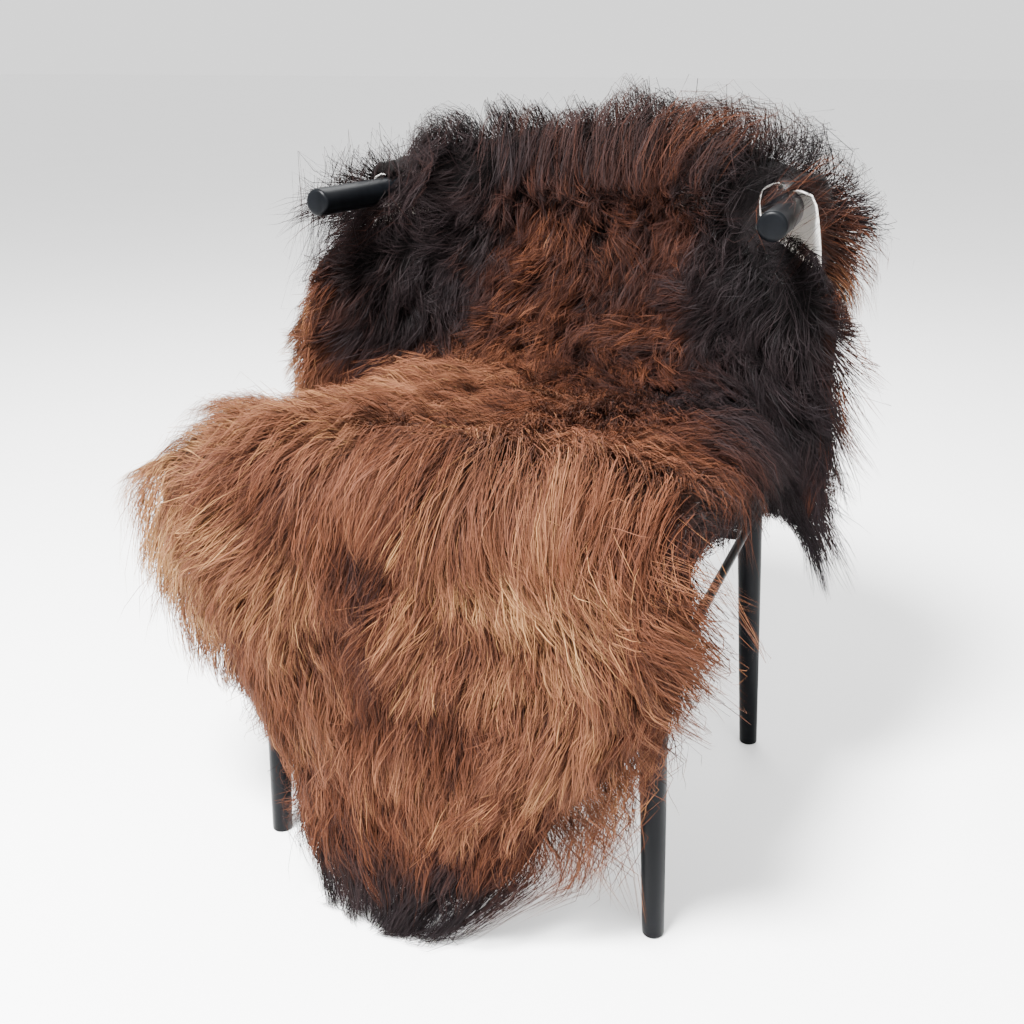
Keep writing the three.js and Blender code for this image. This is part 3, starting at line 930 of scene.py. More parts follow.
    def _cells(self) -> Array:
        """Which cells of the larger grid are hide.

        Returns:
            A mask with one value for each cell.
        """
        mask = np.zeros((self.points.shape[0] - 1, self.points.shape[1] - 1), bool)
        m = self.margin
        inside = np.ones((self.rows_inside - 1, self.columns_inside - 1), bool)
        shares = np.linspace(-1, 1, self.across + 1)
        middles = np.abs((shares[1:] + shares[:-1]) / 2)
        start = self.stations[:-1]
        first, second = self.lips
        gap = (start >= first - TINY) & (start < second - TINY)
        inside[np.ix_(gap, middles > self.shoulder)] = False
        mask[m : m + inside.shape[0], m : m + inside.shape[1]] = inside
        return mask

    def _rim_distance(self) -> Array:
        """How far each grid point lies from the nearest rim, along the grid's lines."""
        nearest = np.full(self.points.shape[:2], np.inf)
        for axis in (0, 1):
            grid = np.moveaxis(self.points, axis, 0)
            cells = np.moveaxis(self.cells, axis, 0)
            edges = np.zeros((grid.shape[0] - 1, grid.shape[1]), bool)
            edges[:, 1:] |= cells
            edges[:, :-1] |= cells
            spans = np.linalg.norm(np.diff(grid, axis=0), axis=-1)
            for turn in (1, -1):
                reach = np.zeros(grid.shape[:2])
                order = range(1, grid.shape[0]) if turn > 0 else range(grid.shape[0] - 2, -1, -1)
                for k in order:
                    edge = k - 1 if turn > 0 else k
                    reach[k] = np.where(edges[edge], reach[k - turn] + spans[edge], 0)
                nearest = np.minimum(nearest, np.moveaxis(reach, 0, axis))
        return nearest

    def pelt_places(self) -> tuple[Array, Array]:
        """The station and the share across of every grid point.

        Returns:
            Two arrays along the grid's two sides.
        """
        m = self.margin
        numbers = np.arange(self.points.shape[0]) - m
        rows = np.interp(numbers, np.arange(self.rows_inside), self.stations)
        shares = (np.arange(self.points.shape[1]) - m) / self.across * 2 - 1
        return rows, np.clip(shares, -1, 1)

    def _wool_height(self) -> Array:
        """The wool's height over every grid point.

        Returns:
            The heights in metres.
        """
        rows, shares = self.pelt_places()
        coarse = self._stations(self.coarse_step)
        counted = np.interp(rows, coarse, np.arange(len(coarse)))
        a = (2 * math.pi * counted * self.coarse_step / self.lump_along)[:, None]
        b = (math.pi * shares * self.coarse_columns * self.coarse_step / self.lump_across)[None, :]
        first = np.sin(a + 1.4 * np.sin(0.55 * b)) * np.cos(b + 0.9 * np.sin(0.7 * a))
        swell = 0.62 * first + 0.38 * np.sin(1.7 * a - 0.8 * b) * np.cos(0.6 * a + 1.9 * b + 1)
        near = np.minimum(self.rim / self.roll, 1)
        round_off = self.rim_share + (1 - self.rim_share) * np.sqrt(1 - (1 - near) ** 2)
        numbers = np.arange(len(ROW_NAMES))
        pile = np.interp(rows, numbers, self.table["pile"])[:, None]
        tuck = np.interp(rows, numbers, self.table["tuck"])[:, None]
        low, high = self.tuck_range
        press = np.clip((np.abs(shares) - low) / (high - low), 0, 1)[None, :]
        press = press * press * (3 - 2 * press)
        return pile * MM * round_off * (1 - tuck * press) * (1 + self.lump * near * swell)

    def read(self, grid: Array, a: Array, b: Array) -> Array:
        """Reads a grid between its points.

        Args:
            grid: Any of the sheet's grids.
            a: Places along the first side.
            b: Places along the second side.

        Returns:
            The values there.
        """
        a = np.clip(a, 0, grid.shape[0] - 1.001)
        b = np.clip(b, 0, grid.shape[1] - 1.001)
        i, j = a.astype(int), b.astype(int)
        u, v = a - i, b - j
        if grid.ndim == 3:
            u, v = u[..., None], v[..., None]
        upper = grid[i, j] * (1 - v) + grid[i, j + 1] * v
        lower = grid[i + 1, j] * (1 - v) + grid[i + 1, j + 1] * v
        return upper * (1 - u) + lower * u

    def slab(self, name: str, low: Array, high: Array, stride: int = 1) -> tuple[bpy.types.Mesh, Array]:
        """A closed slab over the hide's cells.

        Args:
            name: The mesh's name.
            low: How far its underside lies from the flesh side, at every grid point.
            high: How far its upper side lies from the flesh side.
            stride: How many cells are taken together along each side.

        Returns:
            The mesh, and the grid place of every vertex.
        """
        m = self.margin
        rows = np.arange(m, m + self.rows_inside)
        rows = rows[np.unique(np.r_[0 : len(rows) : stride, self._kept_rows(), len(rows) - 1])]
        columns = np.arange(m, m + self.columns_inside)[::stride]
        index = {}
        places = []
        faces = []
        edges = {}

        def vertex(i: int, j: int) -> int:
            """The number of a grid point's lower vertex."""
            if (i, j) not in index:
                index[i, j] = len(places)
                places.append((i, j))
            return index[i, j]

        for i, i_next in zip(rows[:-1], rows[1:]):
            for j, j_next in zip(columns[:-1], columns[1:]):
                if not self.cells[i, j]:
                    continue
                corners = [vertex(i, j), vertex(i_next, j), vertex(i_next, j_next), vertex(i, j_next)]
                faces.append(corners)
                for k in range(4):
                    edges[corners[k], corners[(k + 1) % 4]] = True
        count = len(places)
        solid = [[k + count for k in face] for face in faces] + [face[::-1] for face in faces]
        solid += [[p + count, p, q, q + count] for p, q in edges if (q, p) not in edges]
        grid = tuple(np.array(places).T)
        base, normal = self.points[grid], self.normals[grid]
        heights = (low[grid][:, None], high[grid][:, None])
        points = np.concatenate([base + normal * height for height in heights])
        return mesh_from(name, points, solid), np.array(places * 2)

    def _kept_rows(self) -> list[int]:
        """The rows at the two lips of the arm notches, which every mesh keeps."""
        return [int(np.argmin(np.abs(self.stations - place))) for place in self.lips]

    def area(self) -> float:
        """The hide's area, in square metres."""
        p = self.points
        cross = np.cross(p[1:, 1:] - p[:-1, :-1], p[:-1, 1:] - p[1:, :-1])
        return float((np.linalg.norm(cross, axis=-1) / 2)[self.cells].sum())

    def flat_size(self) -> tuple[float, float]:
        """The hide's greatest width and its length along the spine, in metres."""
        m = self.margin
        inner = self.points[m : m + self.rows_inside, m : m + self.columns_inside]
        width = np.linalg.norm(np.diff(inner, axis=1), axis=-1).sum(1).max()
        length = np.linalg.norm(np.diff(inner[:, self.across // 2], axis=0), axis=-1).sum()
        return float(width), float(length)


# The coat

# How the hair lies at each section. down runs along the spine to the tail, fan spreads it to the
# sides, swing leans it all to the right as seen from the front, mess is how unruly it is, rise
# the share of the wool's height that it fills, stand how much of that height it keeps past the
# rim, and length its length in millimetres. outL and outR are how freely it runs on past the left
# and the right rim.
LAY_COLUMNS = ("down", "fan", "swing", "mess", "rise", "stand", "length", "outL", "outR")
LAY = {
    "neckEnd": (-0.4, 1.4, 0.0, 0.3, 0.8, 0.5, 66, 0.4, 1.1),
    "neck": (0.15, 1.5, 0.0, 0.35, 1.0, 0.9, 74, 0.7, 1.3),
    "crestBack": (0.8, 1.4, 0.1, 0.45, 1.3, 1.0, 84, 1.5, 1.4),
    "crestTop": (1.0, 1.0, 0.1, 0.6, 1.4, 1.0, 84, 1.6, 1.4),
    "crestFront": (1.0, 0.7, 0.1, 0.85, 1.2, 0.8, 72, 1.1, 1.3),
    "backHigh": (1.0, 0.6, 0.0, 0.9, 1.05, 0.3, 68, 0.4, 1.1),
    "backMid": (1.0, 0.8, 0.0, 0.9, 1.05, 0.2, 70, 0.6, 1.15),
    "backLow": (0.9, 0.9, 0.0, 0.9, 1.05, 0.2, 70, 0.8, 1.2),
    "hollow": (0.5, 1.0, 0.1, 0.9, 1.1, 0.2, 60, 1.0, 1.3),
    "seatRear": (0.25, 1.5, -0.1, 0.9, 1.15, 0.5, 62, 1.5, 1.2),
    "seatMid": (0.3, 1.8, -0.1, 0.75, 1.05, 0.2, 74, 1.25, 0.05),
    "seatFore": (0.5, 2.1, -0.05, 0.6, 1.0, 0.12, 82, 0.95, 0.05),
    "seatEdge": (0.85, 2.1, 0.0, 0.5, 0.98, 0.1, 88, 1.0, 0.05),
    "brow": (1.0, 1.9, 0.0, 0.46, 0.98, 0.1, 90, 1.1, 0.05),
    "bibHigh": (1.0, 1.4, 0.0, 0.44, 0.98, 0.1, 90, 1.5, 0.05),
    "bibMid": (1.0, 0.9, 0.0, 0.44, 0.98, 0.1, 86, 1.45, 0.2),
    "bibLow": (1.0, 0.6, 0.0, 0.42, 0.98, 0.1, 82, 0.3, 0.7),
    "tailHigh": (1.0, 0.4, 0.05, 0.4, 1.0, 0.25, 80, 0.1, 1.15),
    "tailLow": (1.0, 0.25, 0.1, 0.36, 1.1, 0.7, 80, 0.3, 1.6),
    "tailEnd": (1.0, 0.1, 0.15, 0.32, 1.2, 1.0, 80, 1.0, 1.7),
}


class Spot(NamedTuple):
    """A soft spot on the hide, where the coat is not as its section says.

    row and share place its middle on the hide, rows and width are its reach along and across.
    value is what it brings, and hold how strongly it rules over other spots.
    """

    row: float
    share: float
    rows: float
    width: float
    value: float
    hold: float = 1.0

    def near(self, rows: Array, shares: Array) -> Array:
        """How near some places are to the spot's middle, up to 1."""
        along, aside = (rows - self.row) / self.rows, (shares - self.share) / self.width
        return np.exp(-(along**2) - aside**2)


# Where the coat is combed another way: degrees, to the right as seen from the front if positive.
COMBS = (
    Spot(5.0, -0.7, 0.36, 0.2, -150),
    Spot(5.0, 0.75, 0.36, 0.26, 140),
    Spot(2.95, 0.75, 0.45, 0.26, 110),
    Spot(3.9, -0.45, 0.9, 0.16, -60),
    Spot(6.6, 0.95, 1.0, 0.25, 25),
    Spot(8.7, 0.95, 0.7, 0.25, 45),
    Spot(6.6, -0.95, 1.2, 0.2, -25),
    Spot(5.2, 1.0, 0.8, 0.2, 30),
    Spot(4.3, 0.05, 0.8, 0.14, 35),
    Spot(5.6, -0.15, 0.7, 0.14, -28),
    Spot(6.4, 0.25, 0.7, 0.16, -30),
    Spot(3.2, 0.35, 0.8, 0.14, -35),
    Spot(9.4, 0.1, 0.7, 0.3, 60),
    Spot(10.6, -0.2, 0.6, 0.2, -35),
    Spot(13.2, -0.05, 1.2, 0.1, -14),
    Spot(13.4, 0.15, 1.2, 0.1, 12),
    Spot(16.0, -0.35, 0.8, 0.16, 20),
    Spot(17.0, 0.3, 0.8, 0.2, -18),
)

# Where the coat is shorter or longer than its section says: how many times so.
TRIMS = (
    Spot(1.8, 1.0, 1.4, 0.3, 1.4),
    Spot(2.1, -1.0, 1.2, 0.3, 1.5),
    Spot(5.0, -0.9, 0.6, 0.3, 0.45),
    Spot(8.2, 0.92, 0.7, 0.25, 1.4),
    Spot(9.7, -1.0, 0.7, 0.3, 1.2),
    Spot(11.0, 0.9, 1.3, 0.36, 0.3),
    Spot(12.3, 0.97, 0.9, 0.2, 0.45),
    Spot(14.0, 1.0, 1.6, 0.14, 0.7),
    Spot(7.2, -1.0, 1.4, 0.2, 0.9),
    Spot(16.4, -1.0, 1.2, 0.3, 0.7),
    Spot(18.3, 0.9, 1.3, 0.4, 1.3),
)

# The coat's patches of colour, and a few narrow stripes of painted shade in partings: their tones, from
# 0 for the darkest to 1.
TONE_PATCHES_AND_PARTINGS = (
    Spot(1.0, 0.0, 2.0, 1.2, 0.14, 1.0),
    Spot(3.5, -0.62, 1.6, 0.3, 0.08, 6.0),
    Spot(5.8, -0.58, 1.4, 0.22, 0.06, 8.0),
    Spot(6.8, -1.0, 1.4, 0.22, 0.72, 9.0),
    Spot(3.1, -0.1, 0.9, 0.5, 0.15, 5.0),
    Spot(5.0, 0.08, 1.6, 0.3, 0.28, 3.0),
    Spot(6.6, 0.2, 1.2, 0.3, 0.3, 3.0),
    Spot(6.2, 0.0, 1.8, 0.14, 0.34, 3.0),
    Spot(7.9, -0.36, 0.6, 0.16, 0.66, 7.0),
    Spot(5.4, 0.62, 2.2, 0.2, 0.03, 10.0),
    Spot(7.6, 0.72, 1.7, 0.3, 0.03, 10.0),
    Spot(2.2, 0.34, 0.8, 0.16, 0.46, 5.0),
    Spot(2.8, 0.74, 1.1, 0.24, 0.04, 40.0),
    Spot(1.2, 1.02, 1.2, 0.07, 0.6, 60.0),
    Spot(5.6, 1.02, 1.4, 0.06, 0.48, 20.0),
    Spot(9.3, -0.25, 0.8, 0.6, 0.5, 2.5),
    Spot(9.6, 0.8, 1.6, 0.32, 0.03, 30.0),
    Spot(10.8, -0.75, 1.3, 0.4, 0.66, 3.0),
    Spot(11.3, 0.1, 1.2, 0.5, 0.52, 2.5),
    Spot(11.0, 0.5, 0.9, 0.16, 0.5, 2.5),
    Spot(12.4, 0.62, 1.0, 0.3, 0.62, 2.5),
    Spot(13.2, -0.7, 1.6, 0.4, 0.8, 4.0),
    # Narrow dark stripes down the bib: painted shade of the partings between locks.
    Spot(13.4, -0.1, 1.3, 0.06, 0.26, 10.0),
    Spot(14.2, -0.42, 0.7, 0.05, 0.3, 3.5),
    Spot(13.0, 0.42, 0.9, 0.04, 0.36, 7.0),
    Spot(15.6, 0.12, 0.9, 0.05, 0.34, 7.0),
    Spot(12.2, -0.3, 0.5, 0.1, 0.36, 5.0),
    Spot(16.6, -0.3, 0.7, 0.06, 0.34, 6.0),
    Spot(13.4, 0.22, 1.3, 0.22, 0.72, 3.0),
    Spot(15.2, -0.6, 1.4, 0.35, 0.52, 2.5),
    Spot(15.2, 0.0, 1.0, 0.2, 0.5, 2.0),
    Spot(15.6, 0.55, 1.4, 0.35, 0.54, 2.5),
    Spot(16.8, 0.0, 1.0, 0.6, 0.58, 2.0),
    Spot(19.2, 0.2, 1.2, 0.9, 0.04, 14.0),
)

# The piece of coat that each stretch of sections belongs to.
COATS = {
    "wool_neck": ("neckEnd", "crestTop"),
    "wool_back": ("crestTop", "backLow"),
    "wool_hollow": ("backLow", "seatRear"),
    "wool_seat": ("seatRear", "seatFore"),
    "wool_front": ("seatFore", "bibHigh"),
    "wool_tail": ("bibHigh", "tailEnd"),
}

# What stirs the coat: pairs of a soft lump's width in metres and its strength, and plain chance.
TURN_STIR = (((0.06, 1.0), (0.022, 0.55)), 0.35)
SWELL_STIR = (((0.03, 0.22),), 0.08)
TONE_STIR = (((0.045, 0.5), (0.018, 0.35)), 0.5)
SHADE_STIR = (((0.026, 0.14),), 0.1)
# From its root to its tip, how wide a hair is, and its painted shade: how much light reaches it,
# painted into its colour.
HAIR_TAPER = (0.8, 1.0, 0.95, 0.7, 0.0)
HAIR_LIGHT = (0.05, 0.34, 0.58, 0.76, 0.9)


def soft_noise(random: np.random.Generator, x: Array, y: Array, size: float) -> Array:
    """Smooth noise over a plane.

    Args:
        random: The source of chance.
        x: Places along one axis, in metres.
        y: Places along the other.
        size: How wide a lump is, in metres.

    Returns:
        Values mostly between -1 and 1.
    """
    lattice = random.uniform(-1, 1, (256, 256))
    u, v = x / size + 64, y / size + 64
    i, j = np.floor(u).astype(int), np.floor(v).astype(int)
    s, t = u - i, v - j
    s, t = s * s * (3 - 2 * s), t * t * (3 - 2 * t)
    i, j = i % 255, j % 255
    top = lattice[i, j] * (1 - t) + lattice[i, j + 1] * t
    bottom = lattice[i + 1, j] * (1 - t) + lattice[i + 1, j + 1] * t
    return (top * (1 - s) + bottom * s) * 1.3


@dataclass
class Wisps:
    """The wisps that hairs gather in, with one value for each of them.

    a and b are the grid places of their roots, row and share the same on the hide. turn is how
    far they turn from the coat's lie, run how far they reach along the sheet, fullness and stand
    how high they rise, and middle the points of their middle lines.
    """

    a: Array
    b: Array
    row: Array
    share: Array
    turn: Array
    run: Array
    fullness: Array
    stand: Array
    tone: Array
    shade: Array
    middle: Array


@dataclass
class Hairs:
    """Single hairs: their points, the hide's normals under them, tones, painted shades and rows."""

    points: Array
    normal: Array
    tone: Array
    shade: Array
    row: Array

    def some(self, mask: Array) -> "Hairs":
        """The hairs that a mask picks."""
        line = (self.tone[mask], self.shade[mask], self.row[mask])
        return Hairs(self.points[:, mask], self.normal[:, mask], *line)


@dataclass
class Coat:
    """The rug: its skin, the dense wool close to it and the long hair that covers it all."""

    sheet: Sheet
    bow_line: Array
    cad_box: Sequence
    wisps: int = 9600
    hairs_per_wisp: int = 13
    spans: int = 4
    wisp_radius: float = 0.0075
    hair_width: float = 0.00066
    curl: float = 0.0056
    rim_density: float = 1.6
    rim_band: float = 0.014
    wave: float = 0.0022
    stray_share: float = 0.04
    spare_room: Triple = (0.029, 0.025, 0.030)
    rim_calm: float = 0.4
    crest_lean: float = 0.3
    crest_corners: float = 1.6
    crest_rows: float = 4.5
    flank_calm: float = 0.55
    right_fan: float = 0.8
    gravity: float = 0.35
    skin_thick: float = 0.002
    clearance: float = 0.0002
    undercoat_share: float = 0.36
    undercoat_lump: float = 0.35
    plain_tone: float = 0.42
    plain_hold: float = 0.25
    arm_room: float = 0.0165
    flattened: float = 0.3
    notched_side: int = 1
    notch_reach: float = 0.45
    floor: float = 0.004
    tone_width: float = 0.001
    seed: int = 11

    def build(self, rests_on: list[bpy.types.Object]) -> None:
        """Builds the whole rug.

        Args:
            rests_on: The chair's pieces that carry it; not used.
        """
        self.random = np.random.default_rng(self.seed)
        wool = Fleece().material()
        # The close wool is half as bright as the long hair: partly its own darker wool, partly painted
        # shade deep in the coat.
        matt = Fleece("close_wool", gain=0.5, roughness=0.85, sheen=0.05)
        undercoat = self._undercoat(matt.material())
        coats = self._hair(wool)
        skin = self._skin()
        width, length = self.sheet.flat_size()
        self.sheet.area()
        log.info("hide is %.3f by %.3f m flat, %.3f square metres", width, length, self.sheet.area())

    def _dress(self, piece: bpy.types.Object, nodes: Sequence[str]) -> None:
        """Tells the frame what a piece is.

        Args:
            piece: The piece.
            nodes: The nodes that it stands for.
        """
        if nodes:
            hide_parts(*nodes)
        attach(piece, BODY)
        log.info("%s has %d faces", piece.name, len(piece.data.polygons))

    def _skin(self) -> bpy.types.Object:
        """The tanned hide itself."""
        low = np.full(self.sheet.wool.shape, self.clearance)
        mesh, _ = self.sheet.slab("hide_skin", low, low + self.skin_thick, stride=2)
        made = add_object("hide_skin", mesh, FleshSide().material())
        self._dress(made, ["sheepskin"])
        return made

    def _undercoat(self, material: bpy.types.Material) -> bpy.types.Object:
        """The dense wool close to the skin, which closes the gaps between the wisps, painted dim as
        shade deep in the coat.

        Args:
            material: Its finish.

        Returns:
            The piece.
        """
        sheet = self.sheet
        rows, shares = sheet.pelt_places()
        low = np.full(sheet.wool.shape, self.clearance + self.skin_thick + self.clearance)
        x, y = self._flat(rows[:, None] + 0 * shares, shares[None, :] + 0 * rows[:, None])
        rough = soft_noise(self.random, x, y, 0.014) * 0.6 + soft_noise(self.random, x, y, 0.034) * 0.4
        high = low + sheet.wool * self.undercoat_share * (1 + self.undercoat_lump * rough)
        mesh, places = sheet.slab("close_wool", low, high)
        tone = self._tone(np.interp(places[:, 0], np.arange(len(rows)), rows), shares[places[:, 1]])
        # Painted shade: the close wool is dim, and darker in its hollows than on its lumps.
        shade = 0.35 + 0.3 * rough[tuple(places.T)]
        self._paint(mesh, np.clip(tone, 0, 1), np.clip(shade, 0, 1))
        made = add_object("close_wool", mesh, material)
        self._dress(made, [])
        return made

    @staticmethod
    def _flat(rows: Array, shares: Array) -> tuple[Array, Array]:
        """A rough place on the flat hide, in metres, for noise to be read at."""
        return rows * 0.07, shares * 0.32

    @staticmethod
    def _paint(mesh: bpy.types.Mesh, tone: Array, shade: Array) -> None:
        """Writes each vertex's tone and painted shade to the palette map."""
        corners = np.zeros(len(mesh.loops), np.int32)
        mesh.loops.foreach_get("vertex_index", corners)
        layer = mesh.uv_layers.new(name=PALETTE_MAP)
        places = np.column_stack([tone, shade])[corners].astype(np.float32)
        layer.data.foreach_set("uv", places.ravel())

    def _tone(self, rows: Array, shares: Array) -> Array:
        """The coat's tone at some places on the hide.

        Args:
            rows: Their stations.
            shares: Their shares across.

        Returns:
            Tones from 0, the darkest, to 1.
        """
        weight = np.full(np.shape(rows), self.plain_hold)
        total = weight * self.plain_tone
        for patch in TONE_PATCHES_AND_PARTINGS:
            near = patch.hold * patch.near(rows, shares)
            weight = weight + near
            total = total + near * patch.value
        return total / weight

    def _lay(self, column: str, rows: Array) -> Array:
        """One column of the table of how the hair lies, at some stations."""
        values = [row[LAY_COLUMNS.index(column)] for row in LAY.values()]
        return np.interp(rows, np.arange(len(values)), values)

    @staticmethod
    def _comb(rows: Array, shares: Array) -> Array:
        """How far the coat is combed aside at some places, in radians."""
        turn = np.zeros(np.shape(rows))
        for comb in COMBS:
            turn = turn + math.radians(comb.value) * comb.near(rows, shares)
        return turn

    @staticmethod
    def _trim(rows: Array, shares: Array) -> Array:
        """How many times its section's length the hair has at some places."""
        times = np.ones(np.shape(rows))
        for trim in TRIMS:
            times = times * (1 + (trim.value - 1) * trim.near(rows, shares))
        return times

    def _stir(self, places: tuple[Array, Array], lumps: tuple, chance: float) -> Array:
        """Soft lumps of noise and some plain chance, added up.

        Args:
            places: Places on the flat hide, in metres, along and across.
            lumps: Pairs of a lump's width, in metres, and its strength.
            chance: How strong the plain chance is.

        Returns:
            One value for each place.
        """
        total = sum(strength * soft_noise(self.random, *places, size) for size, strength in lumps)
        return total + chance * self.random.normal(0, 1, len(places[0]))

    def _roots(self) -> tuple[Array, Array]:
        """Even but unruly places for the wisps over the hide.

        Returns:
            Their places in the sheet's grid.
        """
        p = self.sheet.points
        cross = np.cross(p[1:, 1:] - p[:-1, :-1], p[:-1, 1:] - p[1:, :-1])
        thicker = 1 + self.rim_density * np.exp(-self.sheet.rim[:-1, :-1] / self.rim_band)
        area = np.where(self.sheet.cells, np.linalg.norm(cross, axis=-1) * thicker, 0)
        i, j = np.nonzero(area)
        walked = np.cumsum(area[i, j])
        numbers = np.arange(self.wisps) + self.random.uniform(0, 1, self.wisps)
        pick = np.searchsorted(walked, numbers / self.wisps * walked[-1])
        pick = np.minimum(pick, len(i) - 1)
        a = i[pick] + self.random.uniform(0, 1, self.wisps)
        b = j[pick] + self.random.uniform(0, 1, self.wisps)
        return a, b

    def _walk(self, a: Array, b: Array, turn: Array, length: Array) -> tuple[Array, Array]:
        """Walks hairs over the sheet the way that the coat lies.

        Args:
            a: The roots' places along the grid.
            b: The roots' places across it.
            turn: How far each hair turns from the coat's lie, in radians.
            length: How far each hair runs along the sheet.

        Returns:
            The grid places of every hair at each step, two arrays.
        """
        sheet = self.sheet
        rows, shares = sheet.pelt_places()
        track = [(a, b)]
        for _ in range(self.spans):
            row = np.interp(a, np.arange(len(rows)), rows)
            share = np.interp(b, np.arange(len(shares)), shares)
            along, sideways = sheet.read(sheet.along, a, b), sheet.read(sheet.sideways, a, b)
            normal = unit(sheet.read(sheet.normals, a, b))
            down = self._lay("down", row)[:, None]
            spread = self._lay("fan", row)
            spread = spread * (1 - self.rim_calm * np.clip(np.abs(share) - 0.6, 0, 1) / 0.4)
            spread = spread * np.where(share > 0, self.right_fan, 1.0) * share
            side = (spread + self._lay("swing", row))[:, None]
            fall = np.array([0.0, 0.0, -1.0]) + normal * normal[:, 2:3]
            way = unit(unit(along) * down + unit(sideways) * side + fall * self.gravity)
            aside = (turn + self._comb(row, share))[:, None]
            way = way * np.cos(aside) + np.cross(normal, way) * np.sin(aside)
            aa, bb = (along * along).sum(1), (sideways * sideways).sum(1)
            ab = (along * sideways).sum(1)
            pa, pb = (way * along).sum(1), (way * sideways).sum(1)
            free = np.where(share < 0, self._lay("outL", row), self._lay("outR", row))
            through = np.where(share * self.notched_side > 0, self.notch_reach, 1.0)
            speed = np.where(self._is_hide(a, b), 1.0, np.where(self._in_notch(a, b), through, free))
            scale = speed * length / self.spans / np.maximum(aa * bb - ab * ab, 1e-14)
            a = a + (pa * bb - pb * ab) * scale
            b = b + (pb * aa - pa * ab) * scale
            track.append((a, b))
        return np.array([a for a, _ in track]), np.array([b for _, b in track])

    def _lift(self, a: Array, b: Array, fullness: Array, stand: Array) -> Array:
        """Raises walked hairs off the sheet in an arch.

        Args:
            a: Grid places at each step, along.
            b: Grid places at each step, across.
            fullness: The share of the wool's height that each hair's tip reaches.
            stand: How much of its root's height each hair keeps on its way.

        Returns:
            The hairs' points, one layer for each step.
        """
        shares = np.linspace(0, 1, self.spans + 1)
        arch = 1 - (1 - shares) ** 2.1 - 0.12 * shares**4
        base = self.sheet.read(self.sheet.points, a, b)
        normal = unit(self.sheet.read(self.sheet.normals, a, b))
        wool = self.sheet.read(self.sheet.wool, a, b)
        height = fullness * (stand * wool[0] + (1 - stand) * wool)
        return base + normal * (self.skin_thick + arch[:, None] * height)[..., None]

    def _hair(self, material: bpy.types.Material) -> list[bpy.types.Object]:
        """All the long hair, as pieces of coat.

        Args:
            material: Its finish.

        Returns:
            The pieces.
        """
        hairs = self._hairs(self._wisps())
        pieces = []
        for name, (first, last) in COATS.items():
            begin, end = ROW_NAMES.index(first), ROW_NAMES.index(last)
            at_tail = end == len(ROW_NAMES) - 1
            here = (hairs.row >= begin) & ((hairs.row < end) | at_tail)
            pieces.append(add_object(name, self._ribbons(name, hairs.some(here)), material))
        self._share_out(pieces)
        return pieces

    def _wisps(self) -> Wisps:
        """Places the wisps and works out how each of them lies.

        Returns:
            The wisps.
        """
        sheet, random = self.sheet, self.random
        rows, shares = sheet.pelt_places()
        a, b = self._roots()
        row = np.interp(a, np.arange(len(rows)), rows)
        share = np.interp(b, np.arange(len(shares)), shares)
        flat = self._flat(row, share)
        calm = np.clip((np.abs(share) - 0.5) / 0.3, 0, 1)
        mess = self._lay("mess", row) * (1 - self.flank_calm * calm)
        turn = mess * self._stir(flat, *TURN_STIR)
        swell = 1 + self._stir(flat, *SWELL_STIR)
        length = self._lay("length", row) * MM * np.clip(swell, 0.6, 1.45) * self._trim(row, share)
        corner = np.clip(np.abs(share) - 0.7, 0, 0.3)
        lean = (self.crest_lean * share + self.crest_corners * corner) * (row < self.crest_rows)
        fullness = self._lay("rise", row) * np.clip(swell, 0.7, 1.3) * (1 + lean)
        tone = self._tone(row, share)
        tone = tone + (0.04 + 0.2 * tone) * self._stir(flat, *TONE_STIR)
        # Each wisp's painted shade, lighter or darker in soft patches and at random.
        shade = self._stir(flat, *SHADE_STIR)
        height = sheet.read(sheet.wool, a, b) * fullness
        run = np.sqrt(np.maximum(length**2 - height**2, (0.5 * length) ** 2))
        stand = self._lay("stand", row)
        middle = self._lift(*self._walk(a, b, turn, run), fullness, stand)
        middle = middle + self._bends(unit(sheet.read(sheet.normals, a, b)), mess)
        return Wisps(a, b, row, share, turn, run, fullness, stand, tone, shade, middle)

    def _bends(self, upright: Array, mess: Array) -> Array:
        """How each wisp curls away from its straight course.

        Args:
            upright: The hide's normal at each wisp's root.
            mess: How unruly each wisp is.

        Returns:
            The way moved at each step.
        """
        random, count = self.random, len(mess)
        bend = random.normal(0, 1, (count, 3)) * (self.curl * (0.4 + mess))[:, None]
        bend = bend - 0.6 * (bend * upright).sum(1, keepdims=True) * upright
        phase = random.uniform(0, 1.4, count)
        steps_up = np.linspace(0, 1, self.spans + 1)[:, None]
        return (np.sin(steps_up * 4.6 + phase) - np.sin(phase))[..., None] * bend

    def _hairs(self, wisps: Wisps) -> Hairs:
        """Grows the hairs of every wisp.

        Args:
            wisps: The wisps.

        Returns:
            The hairs that are kept.
        """
        sheet, random = self.sheet, self.random
        each = np.repeat(np.arange(len(wisps.a)), self.hairs_per_wisp)
        total = len(each)
        stray = random.uniform(0, 1, total) < self.stray_share
        spread = random.normal(0, 1, (2, total)) * self.wisp_radius
        size_a = np.linalg.norm(sheet.read(sheet.along, wisps.a, wisps.b), axis=1)[each]
        size_b = np.linalg.norm(sheet.read(sheet.sideways, wisps.a, wisps.b), axis=1)[each]
        root_a = wisps.a[each] + spread[0] / size_a
        root_b = wisps.b[each] + spread[1] / size_b
        turn = wisps.turn[each] + random.normal(0, 0.16, total) + stray * random.normal(0, 0.4, total)
        run = wisps.run[each] * np.clip(random.normal(1, 0.13, total), 0.55, 1.4)
        off_centre = np.hypot(*spread) / self.wisp_radius - 1.25
        evenness = random.normal(0.96, 0.13, total) - 0.12 * off_centre + stray * 0.1
        evenness = np.clip(evenness, 0.35, 1.3)
        fullness, stand = wisps.fullness[each] * evenness, wisps.stand[each]

